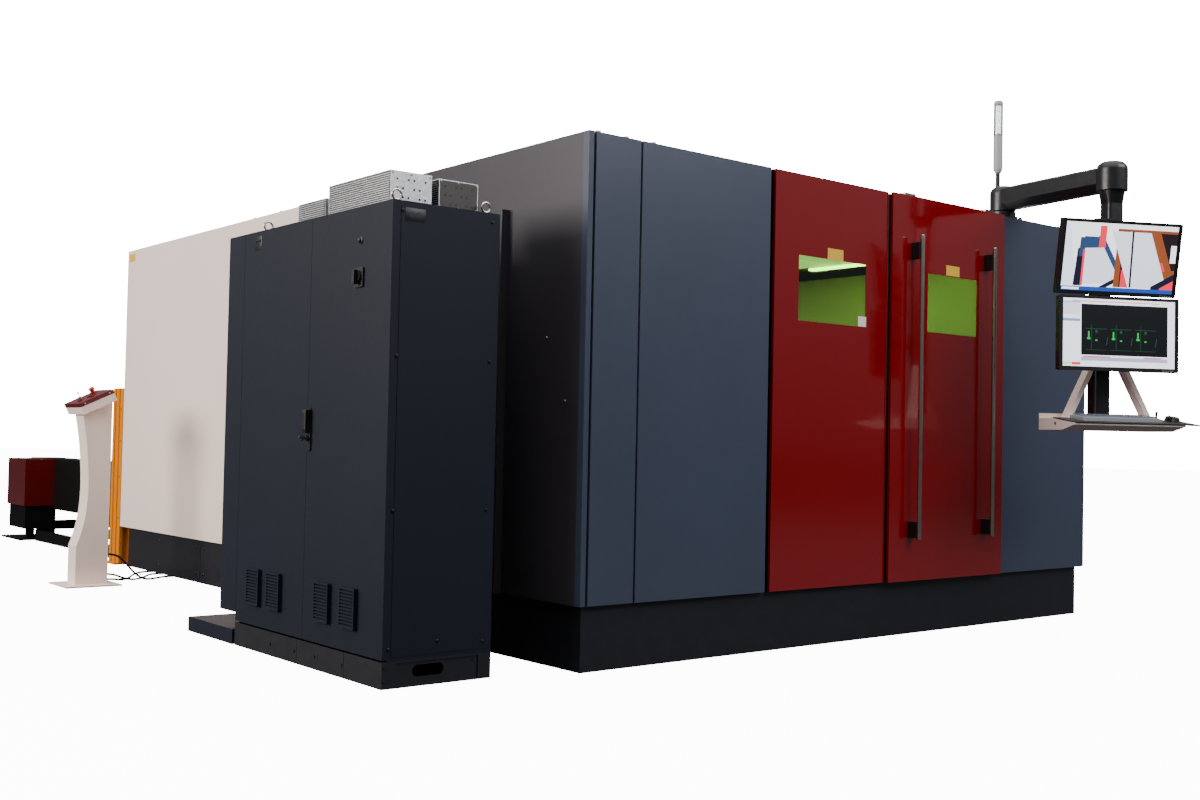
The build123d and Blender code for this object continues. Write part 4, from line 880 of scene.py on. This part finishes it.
# %% Buttons under the pictures
BUTTONS, BUTTON_PITCH, BUTTONS_AT = 5, 14, (250, -184)
for name, body, z, lean in (("top_screen_buttons", "top_screen", TOP_Z, TOP_LEAN),
                            ("low_screen_buttons", "pendant", LOW_Z, 0)):
    bm = bmesh.new()
    for step in range(BUTTONS):
        shift = move(BUTTONS_AT[0] + step * BUTTON_PITCH, BUTTONS_AT[1], PICTURE_SUNK)
        add_block(bm, screen_frame(z, lean) @ shift, (8, 3, 0.8), soft=0.3)
    piece(name, bm, "grey_plastic", body)

# %% [markdown]
# ## Fittings on the arm and the roof
# The arm's hood is held by a small screw at its side. Beside the arm's foot two
# cable glands pass through the roof: each is a hexagon nut with a slim, slightly
# tapered neck above it. A gland could be turned from a profile, but at this size two
# cones look the same.

# %% Hood screw and roof glands
HOOD_OUT = (0.78, -0.63, 0)
bm = bmesh.new()
add_screw(bm, facing(at(ARM_END[0] + 62, ARM_END[1] - 50, 2404), HOOD_OUT), 5, 3)
piece("hood_screw", bm, "steel", "arm")
GLAND_Y, GLAND_FOOT, NUT_HIGH, NECK_HIGH = 96, 2283, 12, 26
bm = bmesh.new()
for x, radius in ((3256, 15), (3300, 17)):
    add_rod(bm, standing(at(x, GLAND_Y, GLAND_FOOT)), radius, NUT_HIGH, sides=6)
    add_rod(bm, standing(at(x, GLAND_Y, GLAND_FOOT + NUT_HIGH)), radius * 0.72, NECK_HIGH, top=radius * 0.6)
piece("roof_glands", bm, "steel", "machine")

# %% [markdown]
# ## The signal tower's lamps
# The tower is a clear sleeve on a black pole, with a stack of lamps inside it. A
# glowing sleeve would look like a plain tube. Small glowing cones with gaps between
# them, seen through the sleeve, give it the bands of the real one.

# %% Lamps and pole of the tower
TOWER, LAMP_FIRST, LAMP_LAST, LAMP_PITCH = (3297, 250), 2838, 3000, 13
POLE_FOOT, POLE_HIGH = 2330, 272
bm = bmesh.new()
for z in range(LAMP_FIRST, LAMP_LAST, LAMP_PITCH):
    add_rod(bm, standing(at(*TOWER, z)), 17, 8, top=12)
piece("tower_lamps", bm, "tower_light", "machine")
bm = bmesh.new()
add_rod(bm, standing(at(*TOWER, POLE_FOOT)), 13.4, POLE_HIGH, sides=32)
piece("tower_pole", bm, "black_paint", "machine")

# %% [markdown]
# ## Light and lining inside the cabin
# A slim work light hangs along each side under the roof, and pale sheets line the
# side walls. Seen through the green glass, a light becomes the bright streak in the
# left window. The streak could be painted on the glass, but it would then stay where
# it is when the door slides open.

# %% Work lights and inner linings
LIGHT_X, LIGHT_Y, LIGHT_Z, HOUSING_Z = (585, 3260), 1120, 2150, 2222
bm = bmesh.new()
housings = bmesh.new()
for x in LIGHT_X:
    add_block(bm, hanging(at(x, LIGHT_Y, LIGHT_Z)), (60, 1100, 14), soft=4)
    add_block(housings, hanging(at(x, LIGHT_Y, HOUSING_Z)), (44, 1120, 72), soft=2)
piece("work_lights", bm, "work_light", "machine")
piece("work_light_housings", housings, "panel_white", "machine")
bm = bmesh.new()
for x, out in ((3744, LEFT), (101, RIGHT)):
    add_block(bm, facing(at(x, 2650, 1250), out), (5000, 1800, 2))
piece("inner_linings", bm, "panel_white", "machine")

# %% [markdown]
# ## The resistor boxes
# On the cabinet's roof stand boxes of zinc sheet that let the drives' braking heat
# out. The two in front have square knock-outs and rivets on their end faces, and all
# have rows of pressed ribs on their long faces. The knock-outs are black squares on
# the face, painted shade for the dark inside of the holes. A bump would do for the
# ribs from afar, but close to the eye their edges catch the light, so they are thin
# bars over a darker sheet, which stands for the shaded gaps. Another darker sheet on
# the second box's end face is painted shade as well.

# %% Knock-outs as black squares of painted shade, and rivets
BOX_FOOT, BOX_WIDE = 1900, 190
BOXES = ((-814, 231, 743, 131), (-590, 231, 743, 125), (-814, 770, 1020, 85))
bm = bmesh.new()
rivets = bmesh.new()
for x0, y0, y1, high in BOXES[:2]:
    for column in range(6):
        for row in range(3):
            if (column + row) % 3:
                spot = at(x0 + 30 + column * 26, y0, BOX_FOOT + 26 + row * 36)
                # Black squares: painted shade inside the knock-out holes.
                add_block(bm, facing(spot, FRONT), (8, 8, 1.0))
    for x in (x0 + 10, x0 + BOX_WIDE / 2, x0 + BOX_WIDE - 10):
        for z in (12, high - 10):
            add_screw(rivets, facing(at(x, y0, BOX_FOOT + z), FRONT), 4, 2)
piece("knockout_hole_shade", bm, "black_plastic", "machine")

# %% Ribs over shaded faces
RIB_PITCH, RIB_SIZE, SHADE_THICK = 9, (3.6, 1.6), 0.6
bm = bmesh.new()
ribs = bmesh.new()
for x0, y0, y1, high in BOXES:
    for x, out in ((x0, LEFT), (x0 + BOX_WIDE, RIGHT)):
        where = facing(at(x, (y0 + y1) / 2, BOX_FOOT + high / 2), out)
        add_block(bm, where, (y1 - y0 - 8, high - 8, SHADE_THICK))
        for row in range(int((high - 12) // RIB_PITCH)):
            rise = 10.5 - high / 2 + row * RIB_PITCH
            add_block(ribs, where @ move(y=rise, z=SHADE_THICK), (y1 - y0 - 14, *RIB_SIZE))
# A darker sheet on the second box's end face: painted shade on that face.
add_block(bm, facing(at(-495, 231, BOX_FOOT + 62), FRONT), (182, 118, SHADE_THICK))
piece("box_shade_faces", bm, "zinc_shade", "machine")
piece("box_ribs", ribs, "galvanised", "machine")
piece("box_rivets", rivets, "steel", "machine")

# %% [markdown]
# ## Screws on the console and the yellow column
# The console's sloping head has a cover with two screws on its near side, set along
# the slope. The column of the light curtain has four in a vertical row. Both are
# placed from the edges of the sheet they hold, as a fitter would mark them out.

# %% Cover and column screws
HEAD_AT, HEAD_FACE, HEAD_TURN = (-703, 1070), 4075, math.radians(25.5)
along_head = Vector((math.cos(HEAD_TURN), 0, math.sin(HEAD_TURN)))
out_head = Vector((-math.sin(HEAD_TURN), 0, math.cos(HEAD_TURN)))
bm = bmesh.new()
for u in (30, 195):
    spot = at(HEAD_AT[0], HEAD_FACE, HEAD_AT[1]) + (along_head * u + out_head * 62) / 1000
    add_screw(bm, facing(spot, FRONT), 5, 3)
piece("cover_screws", bm, "steel", "machine")
bm = bmesh.new()
for z in (340, 640, 900, 1130):
    add_screw(bm, facing(at(-3, 5400, z), LEFT), 6, 3)
piece("column_screws", bm, "black_paint", "machine")

# %% [markdown]
# ## The floor
# The machine stands on plain white. A white floor under it would throw light up and
# wash its dark paint out, as a studio's white table does. So the floor is white and
# bright only to the camera's own rays, and dark to the rays that light the machine.
# Its shader asks the light path which of the two it serves.

# %% White floor to the camera, dark floor to the machine
FLOOR_GLOW, FLOOR_SINK, FLOOR_HALF = 12.0, 0.0005, 60
FLOOR_DARK, FLOOR_WHITE = (0.03, 0.03, 0.03, 1), (0.9, 0.9, 0.9, 1)
tree, shader = new_finish("white_floor")
seen = node(tree, "ShaderNodeLightPath").outputs["Is Camera Ray"]
feed(tree, shader.inputs["Base Color"], blend(tree, seen, FLOOR_DARK, FLOOR_WHITE))
feed(tree, shader.inputs["Emission Strength"], sums(tree, "MULTIPLY", seen, FLOOR_GLOW))
shader.inputs["Emission Color"].default_value = (1, 1, 1, 1)
shader.inputs["Roughness"].default_value = 0.9
bm = bmesh.new()
bmesh.ops.create_grid(bm, x_segments=1, y_segments=1, size=FLOOR_HALF)
mesh = bpy.data.meshes.new("floor")
bm.to_mesh(mesh)
bm.free()
mesh.materials.append(FINISHES["white_floor"])
floor = bpy.data.objects.new("floor", mesh)
floor.location.z = -FLOOR_SINK
bpy.context.collection.objects.link(floor)
print("floor", 2 * FLOOR_HALF, "m wide")

# %% [markdown]
# ## The lamps
# A hall lights a machine from broad lamps far above and from its bright sides. Point
# lamps would give hard shadows and small hot spots on the lacquer. Three broad lamps
# stand for the ceiling and two sides, and a dim one lights the cabin's inside, so
# that something shows behind the glass.

# %% Aim an area lamp
def lamp(name, place, aim, size, watts, tint=(1, 1, 1)):
    """Add an area lamp aimed at a point."""
    data = bpy.data.lights.new(name, "AREA")
    data.shape = "RECTANGLE"
    data.size, data.size_y = size
    data.energy = watts
    data.color = tint
    made = bpy.data.objects.new(name, data)
    made.location = place
    made.rotation_euler = (Vector(aim) - Vector(place)).to_track_quat("-Z", "Y").to_euler()
    bpy.context.collection.objects.link(made)
    print(name, watts, "watts")


lamp("inside", at(1900, 2600, 2150), at(1900, 2600, 0), (2.6, 4), 60)
lamp("ceiling", (-1, -3, 9), (0, 0, 0), (14, 12), 900)
lamp("left_bank", (-12, 2, 4.5), (-1.5, 0.5, 1), (8, 4), 1500, (1, 0.95, 0.9))
lamp("front_bank", (4, -11, 7.5), (1.5, -2, 1.9), (9, 3), 700, (0.95, 0.97, 1))

# %% [markdown]
# ## The world around
# What the paint mirrors is the world. An even grey world would flatten it. Here the
# world is dark near the horizon and pale overhead, as a hall is, which gives the
# panels their fall from light to dark. As with the floor, the camera alone sees it
# as plain white.

# %% World: white to the camera, a hall to everything else
WORLD_WHITE = (20.0, 20.0, 20.0, 1)
HALL_LOW, HALL_HIGH = (0.03, 0.03, 0.035, 1), (0.60, 0.61, 0.63, 1)
world = bpy.data.worlds.new("hall")
bpy.context.scene.world = world
world.use_nodes = True
tree = world.node_tree
direction = node(tree, "ShaderNodeSeparateXYZ")
feed(tree, direction.inputs[0], node(tree, "ShaderNodeTexCoord").outputs["Generated"])
hall = blend(tree, span(tree, direction.outputs["Z"], -0.05, 0.7), HALL_LOW, HALL_HIGH)
seen = node(tree, "ShaderNodeLightPath").outputs["Is Camera Ray"]
feed(tree, tree.nodes["Background"].inputs["Color"], blend(tree, seen, hall, WORLD_WHITE))
tree.nodes["Background"].inputs["Strength"].default_value = 1.0
print("world ready")
